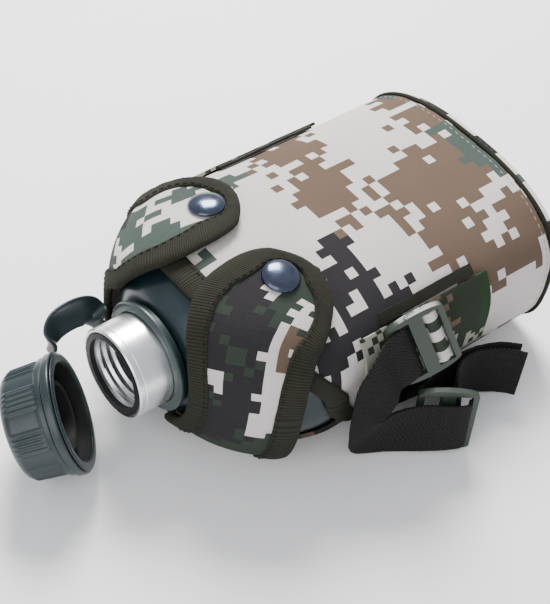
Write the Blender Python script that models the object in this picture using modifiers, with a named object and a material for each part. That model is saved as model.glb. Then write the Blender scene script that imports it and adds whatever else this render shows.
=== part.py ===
"""Canteen: an aluminium flask in a snap-closed fabric cover, lying on its back.

The flask's axis runs along X with the mouth towards -X. The cover's front faces +Z and its
strap lies on the -Y side. Sizes here are millimetres; MM turns them into Blender's metres.
"""
import math

import bpy
import numpy as np
from mathutils import Matrix, Vector

MM = 0.001
GAP = 0.3

# X is measured from the mouth plane; the finished model is centred on its rest face.
ORIGIN_X = 68.91
ORIGIN_Y = -5.965
AXIS_Z = 37.3

# Flask
NECK_R = 18.5
NECK_BORE_R = 15.4
GASKET_BORE_R = 14.6
MOUTH_RECESS_R = 17.0
SHOULDER_START_X = 19.8
SHOULDER_START_R = 19.3
SHOULDER_END_SIDE = 64.0
SHOULDER_END_FRONT = 54.0
SIDE_ROUNDNESS = 1.55
FRONT_ROUNDNESS = 2.0
STATION_LENGTH = 45.0
FLASK_HALF_WIDTH = 55.4
FLASK_HALF_DEPTH = 32.9
FRONT_EXPONENT = 2.46
BACK_EXPONENT = 3.6
BACK_FLATTENING = 1.012
FLASK_END_X = 180.6
FLASK_ROUNDING = 6.0
FLASK_WALL = 1.2

# Fabric layers: how far each outer surface stands off the flask
COVER_OUT = 2.6
COVER_THICK = 1.6
BINDING_THICK = 0.8
BINDING_WIDTH = 9.0
FLAP_OUT = 4.9
FLAP_RISE = 2.2
FLAP_RISE_STATIONS = (0.15, 0.6)
FLAP_THICK = 1.6
BASE_SEAM_X = 178.2
BASE_END_X = 183.6
BASE_ROUNDING = 4.0
PIPING_R = 1.0
SEAM_ANGLE = 196.0

# Outlines as (station, angle): a station is 0 at the neck, 1 at the full body and then one
# more for each STATION_LENGTH; the section angle is 0 at +Y, 90 at the front, 180 at -Y.
FLAP_INNER = [(0.16, 246), (0.155, 225), (0.15, 200), (0.155, 172), (0.18, 146), (0.27, 120),
              (0.41, 103), (0.54, 96.5), (0.66, 94.5), (0.80, 94), (0.94, 95.5), (1.06, 99.5),
              (1.145, 105)]
FLAP_OUTER = [(0.69, 219), (0.69, 205), (0.69, 190), (0.70, 176), (0.725, 162), (0.79, 148),
              (0.87, 140.5), (0.955, 134), (1.02, 130.5), (1.075, 127), (1.12, 123.5),
              (1.15, 120), (1.17, 116.5)]
FLAP_TIP = (1.18, 110.5)
TETHER_ROOM = 0.13
ROOT_GAP = 2.0
BACK_EDGE = [(196.5, 1.13), (205, 0.95), (219, 0.72), (246, 0.2), (258, 0.22), (270, 0.24)]
MOUTH_FRONT_X = 29.0
MOUTH_DROP = 41.0
MOUTH_POWER = 2.1
NEAR_HINGE = ((14.0, -21.9, 12.4), (0.64, -0.768, 0.0))
FAR_HINGE = ((18.1, 28.9, 10.0), (-0.735, -0.678, 0.0))
SNAP_AT = (0.862, 108.3)
SNAP_CLEARANCE = 9.4

# Neck collar, tether band and cap
COLLAR_X = 14.8
COLLAR_R = 22.7
CAP_CENTRE = (-16.9, -0.5, 27.7)
CAP_AXIS = (0.793, -0.480, 0.375)
RING_R = 23.5
GROOVE_R = 20.6
SKIRT_R = 19.4
PLUG_R = 14.2
PLUG_BORE_R = 11.6
BAND_THICK = 1.8
BAND_WIDTH = 12.5
BAND_WIDTH_AXIS = (0.08, 0.38, 0.92)
BAND_ROUTE = [(14.9, 22.9, 31.6), (12.9, 26.0, 31.9), (12.0, 29.5, 34.4), (9.9, 31.2, 37.8),
              (3.5, 31.6, 39.3), (-4.6, 30.2, 39.4), (-9.7, 26.8, 37.6), (-10.7, 22.6, 34.6)]
BAND_BEND = 2
BEND_CLEARANCE = 1.1

# Strap, its buckles and the loops on the cover's sides
WEB_WIDTH = 25.0
WEB_THICK = 1.4
UNDER_TURN_R = 4.0
BUCKLE_LENGTH = 24.0
BUCKLE_WIDTH = 31.0
BUCKLE_THICK = 2.6
SLOT_LENGTH = 26.0
SLOT_WIDTH = 6.8
CENTRE_BAR = 5.6
# Each buckle: its centre, the direction along its rails and the direction along its bars
NEAR_BUCKLE = ((97.2, -63.5, 53.0), (0.90, -0.23, 0.37), (0.27, -0.36, -0.89))
FAR_BUCKLE = ((97.2, 63.6, 26.5), (1.0, 0.0, 0.0), (0.0, 0.0, -1.0))
ADJUSTER = ((104.6, -77.0, 16.2), (0.80, -0.60, 0.0), (0.075, -0.20, -0.97))
LOOP_X = (74.0, 140.0)
LOOP_ANGLES = (149.0, 186.0)
TRIM_X = (86.0, 134.0)
TRIM_ANGLES = (141.0, 147.6)
HANK_X = (112.0, 176.0)
HANK_Y = (63.0, 70.8)
HANK_Z = (2.2, 27.2)

ROUND_STEPS = 40
SMALL_STEPS = 20
SECTION_COLUMNS = 40


def material(name, colour, roughness, metallic=0.0):
    """One Principled finish, made once and shared by every piece that has it."""
    found = bpy.data.materials.get(name)
    if found:
        return found
    made = bpy.data.materials.new(name)
    made.use_nodes = True
    shader = made.node_tree.nodes["Principled BSDF"]
    shader.inputs["Base Color"].default_value = (*colour, 1.0)
    shader.inputs["Roughness"].default_value = roughness
    shader.inputs["Metallic"].default_value = metallic
    return made


def clear_scene():
    for old in list(bpy.data.objects):
        bpy.data.objects.remove(old, do_unlink=True)


def axis_frame(location, z_axis, x_hint):
    """A matrix whose local Z is z_axis and whose local X is as near x_hint as it can be."""
    z_dir = Vector(z_axis).normalized()
    x_dir = Vector(x_hint)
    x_dir = (x_dir - x_dir.dot(z_dir) * z_dir).normalized()
    y_dir = z_dir.cross(x_dir)
    turn = Matrix((x_dir, y_dir, z_dir)).transposed().to_4x4()
    return Matrix.Translation(Vector(location) * MM) @ turn


def empty(name, matrix, parent=None):
    made = bpy.data.objects.new(name, None)
    made.empty_display_size = 0.01
    bpy.context.scene.collection.objects.link(made)
    made.parent = parent
    made.matrix_world = matrix
    return made


def place(made, finish, parent, matrix=None):
    """Link a finished object, give it its material and hang it on its parent."""
    PARTS.objects.link(made)
    made.data.materials.append(finish)
    bpy.context.view_layer.update()
    made.parent = parent
    made.matrix_parent_inverse = parent.matrix_world.inverted()
    made.matrix_world = (parent.matrix_world if matrix is None else ROOT.matrix_world @ matrix)
    return made


def loft(name, rows, finish, parent, thick=0.0, closed=False, caps=""):
    """A skin over rows of points. Solidify turns an open skin into a shell of that thickness."""
    rows = np.asarray(rows, dtype=float)
    count, width = rows.shape[:2]
    columns = width if closed else width - 1
    faces = []
    for row in range(count - 1):
        for column in range(columns):
            after = (column + 1) % width
            corners = (row * width + column, row * width + after)
            faces.append((*corners, corners[1] + width, corners[0] + width))
    if "start" in caps:
        faces.append(tuple(reversed(range(width))))
    if "end" in caps:
        faces.append(tuple((count - 1) * width + column for column in range(width)))
    to_local = parent.matrix_world.inverted() @ ROOT.matrix_world
    points = [to_local @ (Vector(point) * MM) for point in rows.reshape(-1, 3)]
    mesh = bpy.data.meshes.new(name)
    mesh.from_pydata(points, [], faces)
    mesh.shade_smooth()
    made = bpy.data.objects.new(name, mesh)
    if thick:
        solid = made.modifiers.new("Solidify", "SOLIDIFY")
        solid.thickness = thick * MM
        solid.offset = -1.0
    return place(made, finish, parent)


def turned(name, profile, finish, parent, steps=ROUND_STEPS, lift=0.0, ring=True):
    """A turned piece from (radius, height) points that run down its outer side."""
    points = [(radius * MM, 0.0, (height + lift) * MM) for radius, height in profile]
    edges = [(index, index + 1) for index in range(len(points) - 1)]
    if ring:
        edges.append((len(points) - 1, 0))
    mesh = bpy.data.meshes.new(name)
    mesh.from_pydata(points, edges, [])
    made = bpy.data.objects.new(name, mesh)
    screw = made.modifiers.new("Screw", "SCREW")
    screw.axis = "Z"
    screw.angle = math.tau
    screw.steps = steps
    screw.render_steps = steps
    screw.use_merge_vertices = True
    screw.merge_threshold = 0.00001
    screw.use_smooth_shade = True
    return place(made, finish, parent)


def smooth_route(points, count):
    """A Catmull-Rom curve through the points, sampled evenly between them."""
    points = np.asarray(points, dtype=float)
    padded = np.vstack([2 * points[0] - points[1], points, 2 * points[-1] - points[-2]])
    samples = []
    for place_on in np.linspace(0, len(points) - 1, count):
        left = min(int(place_on), len(points) - 2)
        part = place_on - left
        before, start, stop, after = padded[left:left + 4]
        samples.append(0.5 * (2 * start + (stop - before) * part
                              + (2 * before - 5 * start + 4 * stop - after) * part ** 2
                              + (3 * start - before - 3 * stop + after) * part ** 3))
    return np.array(samples)


def unit_rows(rows):
    return rows / np.linalg.norm(rows, axis=1)[:, None]


def square_to(route, across):
    """The width directions with their parts along the route taken out."""
    ahead = unit_rows(np.gradient(route, axis=0))
    return unit_rows(across - np.sum(across * ahead, axis=1)[:, None] * ahead)


def ribbon(name, route, across, widths, thick, finish, parent):
    """A flat band along a route. across gives the width direction at each sampled point."""
    across = unit_rows(across)
    normal = unit_rows(np.cross(np.gradient(route, axis=0), across))
    half = across * np.broadcast_to(widths, len(route))[:, None] / 2
    skin = normal * np.broadcast_to(thick, len(route))[:, None] / 2
    rows = np.stack([route - half - skin, route + half - skin, route + half + skin,
                     route - half + skin], axis=1)
    return loft(name, rows, finish, parent, closed=True, caps="start end")


# The body's shape

def rounded(share, power):
    return (1 - (1 - share) ** power) ** (1 / power)


def section_sizes(x, offset):
    """Half width, half depth and the two exponents of the cross-section at x."""
    start = SHOULDER_START_X - offset
    side = min(max((x - start) / (SHOULDER_END_SIDE - start), 0), 1)
    front = min(max((x - start) / (SHOULDER_END_FRONT - start), 0), 1)
    widen = rounded(side, SIDE_ROUNDNESS)
    deepen = rounded(front, FRONT_ROUNDNESS)
    width = SHOULDER_START_R + (FLASK_HALF_WIDTH + offset - SHOULDER_START_R) * widen
    depth = SHOULDER_START_R + (FLASK_HALF_DEPTH + offset - SHOULDER_START_R) * deepen
    return width, depth, 2 + (FRONT_EXPONENT - 2) * deepen, 2 + (BACK_EXPONENT - 2) * deepen


def section_point(x, angle, offset, shrink=0.0):
    width, depth, front_power, back_power = section_sizes(x, offset)
    width -= shrink
    depth -= shrink
    cosine = math.cos(math.radians(angle))
    sine = math.sin(math.radians(angle))
    power = front_power if sine > 0 else back_power
    y = math.copysign(width * abs(cosine) ** (2 / power), cosine)
    z = math.copysign(depth * abs(sine) ** (2 / power), sine)
    if sine < 0:
        flattening = 1 + (BACK_FLATTENING - 1) * min(1, max(0, (x - 40) / 14))
        z = max(z * flattening, -depth)
    return (x, y, AXIS_Z + z)


def station_x(station, offset):
    start = SHOULDER_START_X - offset
    turn = min(max(station, 0), 1) * math.pi / 2
    reach = 1 - math.cos(turn) ** (2 / SIDE_ROUNDNESS)
    return start + (SHOULDER_END_SIDE - start) * reach + max(station - 1, 0) * STATION_LENGTH


def x_station(x, offset):
    start = SHOULDER_START_X - offset
    share = (x - start) / (SHOULDER_END_SIDE - start)
    if share >= 1:
        return 1 + (x - SHOULDER_END_SIDE) / STATION_LENGTH
    return math.acos((1 - share) ** (SIDE_ROUNDNESS / 2)) / (math.pi / 2)


def surface_point(station, angle, offset):
    return section_point(station_x(station, offset), angle, offset)


def end_rows(x_end, rounding, offset, angles, steps=3):
    """Rings that round the body's end over, down to the flat end face."""
    rows = []
    for step in range(1, steps + 1):
        turn = step / steps * math.pi / 2
        shrink = rounding * (1 - math.cos(turn))
        x = x_end - rounding * (1 - math.sin(turn))
        rows.append([section_point(x, angle, offset, shrink) for angle in angles])
    return rows


def flask_body(parent, finish):
    angles = np.linspace(0, 360, SECTION_COLUMNS, endpoint=False)
    rows = [[surface_point(station, angle, 0) for angle in angles]
            for station in (0, 0.12, 0.25, 0.4, 0.56, 0.74, 1.0, 2.2)]
    rows.append([section_point(FLASK_END_X - FLASK_ROUNDING, angle, 0) for angle in angles])
    rows += end_rows(FLASK_END_X, FLASK_ROUNDING, 0, angles)
    return loft("flask_body", rows, finish, parent, FLASK_WALL, closed=True, caps="end")


def threaded_neck(parent, finish):
    """The bare aluminium neck at the thread's outer radius, with a gasket seat at the mouth."""
    profile = [(MOUTH_RECESS_R, 0), (NECK_R, 0), (NECK_R + 0.35, -1.2), (NECK_R, -2.4),
               (NECK_R, -22.0), (NECK_BORE_R, -22.0), (NECK_BORE_R, -2.2),
               (MOUTH_RECESS_R, -2.2)]
    return turned("threaded_neck", profile, finish, parent)


def mouth_gasket(parent, finish):
    outer = MOUTH_RECESS_R - GAP
    profile = [(GASKET_BORE_R, 0.1), (outer, 0.1), (outer, -1.9), (GASKET_BORE_R, -1.9)]
    return turned("mouth_gasket", profile, finish, parent)


def tether_collar(parent, finish):
    """The swivelling plastic collar: a wide flange in front and a narrower hub behind."""
    bore = NECK_R + GAP
    profile = [(bore, 0), (COLLAR_R - 0.5, 0), (COLLAR_R, -0.5), (COLLAR_R, -1.9),
               (COLLAR_R - 1.6, -2.3), (COLLAR_R - 1.6, -4.2), (bore, -4.2)]
    return turned("tether_collar", profile, finish, parent, lift=-COLLAR_X)


def band_half(name, at_collar, finish, parent):
    """Half of the flexible band between collar and cap ring, cut at the bend."""
    count = 4 * (len(BAND_ROUTE) - 1) + 1
    route = smooth_route(BAND_ROUTE, count)
    bend = 4 * BAND_BEND
    first, last = (0, bend) if at_collar else (bend, count - 1)
    steps = np.arange(count)
    widths = np.interp(steps, [0, bend - 3, bend, count - 5, count - 1],
                       [6.0, 6.5, BAND_WIDTH, BAND_WIDTH, 6.0])
    distance = np.linalg.norm(route - route[bend], axis=1)
    keep = (steps >= first) & (steps <= last) & (distance > BEND_CLEARANCE)
    across = square_to(route, np.tile(np.array(BAND_WIDTH_AXIS), (count, 1)))
    return ribbon(name, route[keep], across[keep], widths[keep], BAND_THICK, finish, parent)


def cap_ring(parent, finish):
    bore = GROOVE_R + GAP
    profile = [(bore, 0), (RING_R - 0.4, 0), (RING_R, -0.4), (RING_R, -2.9),
               (RING_R - 0.4, -3.3), (bore, -3.3)]
    return turned("cap_ring", profile, finish, parent, lift=-1.0)


def cap_shell(parent, finish):
    """The screw cap's outer shell: lip, groove for the tether ring, flange and tapered grip."""
    profile = [(0, -18.4), (SKIRT_R, -18.4), (SKIRT_R, 0), (22.3, 0), (22.6, -0.3), (22.4, -0.7),
               (GROOVE_R, -0.7), (GROOVE_R, -4.6), (22.6, -4.6), (22.6, -6.4), (21.7, -6.9),
               (20.9, -19.6), (19.6, -21.4), (17.2, -22.2), (0, -22.2)]
    return turned("cap_shell", profile, finish, parent, ring=False)


def cap_plug(parent, finish):
    """The black liner: a hollow plug as wide as its thread, on a disc that fills the skirt."""
    profile = [(0, -13.6), (PLUG_BORE_R, -13.6), (PLUG_BORE_R, -4.0), (PLUG_R - 0.8, -4.0),
               (PLUG_R, -4.8), (PLUG_R, -16.4), (SKIRT_R - GAP, -16.4), (SKIRT_R - GAP, -18.1),
               (0, -18.1)]
    return turned("cap_plug", profile, finish, parent, ring=False)


def cap_gasket(parent, finish):
    outer = SKIRT_R - 2 * GAP
    profile = [(PLUG_R + 1.2, 0), (outer, 0), (outer, -1.3), (PLUG_R + 1.2, -1.3)]
    return turned("cap_gasket", profile, finish, parent, lift=-14.8)


# Cover

def mouth_x(angle):
    return MOUTH_FRONT_X + MOUTH_DROP * (abs(angle - 90) / 106) ** MOUTH_POWER


def back_edge_station(angle):
    half_angle = angle if angle <= 270 else 540 - angle
    return np.interp(half_angle, [row[0] for row in BACK_EDGE], [row[1] for row in BACK_EDGE])


def cover_panel(name, angles, edge_station, finish, parent):
    """A panel of the cover, from its mouth edge down to the seam at the base."""
    last = x_station(BASE_SEAM_X - PIPING_R - GAP, COVER_OUT)
    rows = []
    for share in (0, 0.05, 0.1, 0.17, 0.26, 0.45, 0.7, 1):
        rows.append([surface_point(edge + (last - edge) * share, angle, COVER_OUT)
                     for angle, edge in ((angle, edge_station(angle)) for angle in angles)])
    return loft(name, rows, finish, parent, COVER_THICK)


def edge_binding(name, angles, edge_station, finish, parent):
    """Binding tape on the outside of a panel's mouth edge."""
    offset = COVER_OUT + 1.5 * GAP + BINDING_THICK
    rows = []
    for share in (0, 0.5, 1):
        row = []
        for angle in angles:
            x = station_x(edge_station(angle), COVER_OUT) + BINDING_WIDTH * share
            row.append(surface_point(x_station(x, COVER_OUT), angle, offset))
        rows.append(row)
    return loft(name, rows, finish, parent, BINDING_THICK)


def base_panel(parent, finish):
    angles = np.linspace(0, 360, SECTION_COLUMNS, endpoint=False)
    rows = [[section_point(BASE_SEAM_X + PIPING_R + GAP, angle, COVER_OUT) for angle in angles]]
    rows += end_rows(BASE_END_X, BASE_ROUNDING, COVER_OUT, angles)
    return loft("base_panel", rows, finish, parent, COVER_THICK, closed=True, caps="end")


def tube(name, points, radius, finish, parent, cyclic=False):
    curve = bpy.data.curves.new(name, "CURVE")
    curve.dimensions = "3D"
    curve.bevel_depth = radius * MM
    curve.bevel_resolution = 2
    curve.use_fill_caps = not cyclic
    spline = curve.splines.new("POLY")
    spline.points.add(len(points) - 1)
    for point, target in zip(spline.points, points):
        point.co = (*(Vector(target) * MM), 1.0)
    spline.use_cyclic_u = cyclic
    return place(bpy.data.objects.new(name, curve), finish, parent)


def base_piping(parent, finish):
    angles = np.linspace(0, 360, SECTION_COLUMNS, endpoint=False)
    points = [section_point(BASE_SEAM_X, angle, COVER_OUT) for angle in angles]
    return tube("base_piping", points, PIPING_R, finish, parent, cyclic=True)


# Flaps

def flap_offset(station):
    low, high = FLAP_RISE_STATIONS
    share = min(max((station - low) / (high - low), 0), 1)
    return FLAP_OUT + FLAP_RISE * share * share * (3 - 2 * share)


def flap_point(spot, side, extra=0.0):
    station, angle = spot
    if side < 0:
        station += TETHER_ROOM * min(max((angle - 142) / 30, 0), 1)
    x, y, z = surface_point(station, angle, flap_offset(station) + extra)
    return (x, side * y, z)


def oriented(rows, side):
    """Mirrored rows are reversed so that their skin still faces outwards."""
    return rows if side > 0 else [row[::-1] for row in rows]


def flap_rows(side, outline):
    rows = []
    for inner, outer in outline:
        shares = np.linspace(0, 1, 6)[:, None]
        spots = np.array(outer) * shares + np.array(inner) * (1 - shares)
        rows.append([flap_point(spot, side) for spot in spots])
    return oriented(rows, side)


def flap_panel(name, side, finish, parent):
    outline = list(zip(FLAP_INNER, FLAP_OUTER))[1:]
    return loft(name, flap_rows(side, outline), finish, parent, FLAP_THICK)


def flap_root(name, side, finish):
    """The fixed strip below a flap's hinge line, sewn to the back panel."""
    (low_inner, high_inner), (low_outer, high_outer) = FLAP_INNER[:2], FLAP_OUTER[:2]
    outline = [(low_inner, low_outer),
               ((high_inner[0], high_inner[1] + ROOT_GAP), (high_outer[0], high_outer[1] + ROOT_GAP))]
    return loft(name, flap_rows(side, outline), finish, ROOT, FLAP_THICK)


def flap_binding(name, side, finish, parent):
    """Tape round the flap's free edge, on its outside."""
    inward = []
    centre = np.array(SNAP_AT)
    edges = list(zip(FLAP_INNER, FLAP_OUTER))[1:]
    for near, far in edges + [(FLAP_TIP, SNAP_AT)] + [pair[::-1] for pair in edges[::-1]]:
        near = np.array(near)
        target = centre if near[0] > centre[0] else np.array(far)
        span = np.linalg.norm(np.subtract(flap_point(near, 1), flap_point(target, 1)))
        share = min(BINDING_WIDTH / span, 0.45)
        while np.linalg.norm(np.subtract(flap_point(near + (target - near) * share, 1),
                                         flap_point(centre, 1))) < SNAP_CLEARANCE:
            share -= 0.03
        inward.append((near, near + (target - near) * share))
    extra = 2 * GAP + BINDING_THICK
    rows = [[flap_point(pair[0], side, extra), flap_point(pair[1], side, extra)]
            for pair in inward]
    return loft(name, oriented(rows, side), finish, parent, BINDING_THICK)


# Snap fasteners

def snap_frame(side):
    """The frame on the body's front where a snap sits, its Z along the surface's normal."""
    station, angle = SNAP_AT
    centre = np.array(surface_point(station, angle, 0))
    along = np.array(surface_point(station + 0.02, angle, 0)) - centre
    around = np.array(surface_point(station, angle + 2, 0)) - centre
    flip = np.array([1, side, 1])
    return axis_frame(centre * flip, np.cross(around, along) * flip, along * flip)


def snap_parts(word, side, flap_parent, finishes):
    """Dome cap and socket on the flap; stud and its back washer on the front panel."""
    frame = snap_frame(side)
    top = FLAP_OUT + FLAP_RISE + GAP
    dome = [(0, 3.1), (3.0, 2.9), (5.6, 2.1), (7.0, 1.0), (7.4, 0.2), (7.2, 0), (0, 0)]
    socket = [(2.3, 1.6), (4.9, 1.6), (5.5, 1.2), (5.5, 0), (2.3, 0)]
    stud = [(0, 0.5), (1.8, 0.4), (1.9, 0.25), (5.2, 0.2), (5.2, 0), (0, 0)]
    washer = [(0, 0.3), (4.0, 0.3), (4.0, 0), (0, 0)]
    pieces = [("snap_cap", dome, top, "snap", flap_parent),
              ("snap_socket", socket, top - FLAP_THICK - 2 * GAP - 1.6, "steel", flap_parent),
              ("snap_stud", stud, COVER_OUT + GAP, "steel", ROOT),
              ("snap_washer", washer, 0.2, "steel", ROOT)]
    for label, profile, height, finish, parent in pieces:
        ring = label == "snap_socket"
        made = turned(f"{word}_{label}", profile, finishes[finish], ROOT, SMALL_STEPS, height,
                      ring)
        made.matrix_world = ROOT.matrix_world @ frame
        bpy.context.view_layer.update()
        if parent is not ROOT:
            made.parent = parent
            made.matrix_parent_inverse = parent.matrix_world.inverted()
            made.matrix_world = ROOT.matrix_world @ frame


# Side loops, buckles and strap

def side_patch(name, side, x_range, angle_range, out, thick, finish):
    rows = []
    for x in np.linspace(*x_range, 3):
        row = [section_point(x, angle, out) for angle in np.linspace(*angle_range, 6)]
        rows.append([(x, side * y, z) for x, y, z in row])
    return loft(name, oriented(rows, side), finish, ROOT, thick)


def arc(centre, radius_x, radius_y, start, stop, count):
    angles = np.radians(np.linspace(start, stop, count))
    return [(centre[0] + radius_x * math.cos(angle), centre[1] + radius_y * math.sin(angle))
            for angle in angles]


def buckle(name, matrix, finish):
    """A tri-glide: bowed side rails, two outer bars and a wide centre bar."""
    half_length = BUCKLE_LENGTH / 2
    half_width = BUCKLE_WIDTH / 2
    outline = arc((0, half_width - 2.5), half_length, 2.5, 0, 180, 9)
    outline += arc((0, 2.5 - half_width), half_length, 2.5, 180, 360, 9)
    holes = []
    for side in (-1, 1):
        near = side * CENTRE_BAR / 2
        far = side * (CENTRE_BAR / 2 + SLOT_WIDTH)
        half = SLOT_LENGTH / 2
        holes.append([(near, -half), (far, -half), (far, half), (near, half)])
    curve = bpy.data.curves.new(name, "CURVE")
    curve.dimensions = "2D"
    curve.fill_mode = "BOTH"
    curve.extrude = BUCKLE_THICK * MM / 2
    for points in [outline] + holes:
        spline = curve.splines.new("POLY")
        spline.points.add(len(points) - 1)
        for point, (x, y) in zip(spline.points, points):
            point.co = (x * MM, y * MM, 0.0, 1.0)
        spline.use_cyclic_u = True
    return place(bpy.data.objects.new(name, curve), finish, ROOT, matrix)


def buckle_frame(centre, rail, bar):
    return axis_frame(centre, np.cross(rail, bar), rail)


def web(name, points, across, thick, finish):
    """A stretch of webbing through points, turning its width between the given directions."""
    count = 4 * (len(points) - 1) + 1
    route = smooth_route(points, count)
    across = square_to(route, smooth_route(across, count))
    return ribbon(name, route, across, WEB_WIDTH, thick, finish, ROOT)


def strap_loop(finish):
    """Webbing that drops from the near buckle, curls round and runs back to the adjuster.

    It is doubled on its first half. Its two edges are given, because it twists as it turns.
    """
    inner = [(87.0, -65.4, 36.4), (82.5, -69.4, 33.5), (77.0, -70.8, 31.5), (73.5, -70.6, 30.0),
             (76.0, -69.6, 28.0), (84.0, -69.4, 27.0), (95.5, -73.4, 26.8),
             (103.6, -80.0, 27.4), (106.2, -82.2, 27.6)]
    outer = [(80.3, -57.9, 58.6), (73.0, -61.7, 54.0), (65.5, -63.7, 46.5), (65.0, -66.6, 36.0),
             (70.5, -67.2, 24.0), (80.0, -67.2, 11.0), (91.0, -72.6, 1.8), (102.9, -81.6, 2.4),
             (106.2, -83.8, 2.8)]
    count = 4 * (len(inner) - 1) + 1
    inner = smooth_route(inner, count)
    outer = smooth_route(outer, count)
    widths = np.linalg.norm(outer - inner, axis=1)
    doubled = 2 * WEB_THICK + GAP
    thick = np.interp(np.arange(count), [18, 24], [doubled, WEB_THICK])
    return ribbon("strap_loop", (inner + outer) / 2, outer - inner, widths, thick, finish, ROOT)


def strap(finish):
    """The rest of the strap: tail with its folded end, the pass under the flask, the far end."""
    web("strap_loop_ply",
        [(82.0, -60.8, 13.4), (75.0, -60.7, 13.4), (70.8, -60.9, 13.4), (69.0, -62.0, 13.4),
         (70.4, -63.2, 13.4), (74.0, -63.8, 13.4)], [(0, 0, -1)] * 6, WEB_THICK, finish)
    web("strap_tail",
        [(109.4, -80.4, 16.0), (113.0, -75.4, 15.2), (118.0, -69.4, 14.2), (125.0, -65.2, 13.6),
         (133.5, -65.0, 13.4), (141.0, -68.6, 13.4), (146.5, -73.2, 13.4), (149.5, -77.2, 13.4)],
        [(0.03, -0.17, -0.98)] + [(0, -0.08, -1)] * 7, WEB_THICK, finish)
    web("strap_return",
        [(151.0, -72.6, 13.4), (145.0, -67.0, 13.4), (137.0, -63.0, 13.4), (129.0, -61.3, 13.2),
         (122.0, -61.0, 12.6), (116.0, -59.8, 10.0), (112.6, -55.6, 5.4), (112.0, -47.0, 1.7),
         (112.0, -36.0, 0.95)],
        [(0, -0.08, -1), (0, -0.04, -1), (0, 0, -1), (0, 0, -1), (0.2, 0, -1), (0.75, 0.1, -0.75),
         (0.97, 0.05, -0.25), (1, 0, -0.03), (1, 0, 0)], WEB_THICK, finish)
    turn_up = arc((69.8, 4.95), UNDER_TURN_R, UNDER_TURN_R, -90, 0, 6)
    under = np.array([(112.0, -35.6, 0.95)] + [(112.0, y, z) for y, z in turn_up]
                     + [(112.0, 73.8, 16.0)])
    across = np.tile((1.0, 0.0, 0.0), (len(under), 1))
    ribbon("strap_under_run", under, across, WEB_WIDTH, WEB_THICK, finish, ROOT)
    strap_loop(finish)
    web("strap_far_end",
        [(84.0, 63.7, 26.0), (78.0, 63.9, 25.5), (73.5, 65.0, 24.5), (72.8, 67.3, 23.0),
         (76.0, 69.2, 21.0), (84.0, 70.0, 17.5), (92.0, 70.6, 14.5), (98.0, 71.0, 13.4)],
        [(0, 0, -1)] * 8, WEB_THICK, finish)


def strap_hank(finish):
    """The unseen length of strap, folded flat on edge beside the far side."""
    half_depth = (HANK_Y[1] - HANK_Y[0]) / 2
    centre_y = (HANK_Y[0] + HANK_Y[1]) / 2
    curve = bpy.data.curves.new("strap_hank", "CURVE")
    curve.dimensions = "2D"
    curve.fill_mode = "BOTH"
    curve.extrude = (HANK_Z[1] - HANK_Z[0]) * MM / 2
    points = arc((HANK_X[1] - half_depth, centre_y), half_depth, half_depth, -90, 90, 7)
    points += arc((HANK_X[0] + half_depth, centre_y), half_depth, half_depth, 90, 270, 7)
    spline = curve.splines.new("POLY")
    spline.points.add(len(points) - 1)
    for point, (x, y) in zip(spline.points, points):
        point.co = (x * MM, y * MM, 0.0, 1.0)
    spline.use_cyclic_u = True
    middle = Matrix.Translation((0, 0, (HANK_Z[0] + HANK_Z[1]) * MM / 2))
    return place(bpy.data.objects.new("strap_hank", curve), finish, ROOT, middle)


clear_scene()
PARTS = bpy.data.collections.new("canteen")
bpy.context.scene.collection.children.link(PARTS)
ROOT = empty("canteen_frame", Matrix.Translation((-ORIGIN_X * MM, -ORIGIN_Y * MM, 0)))


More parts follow.
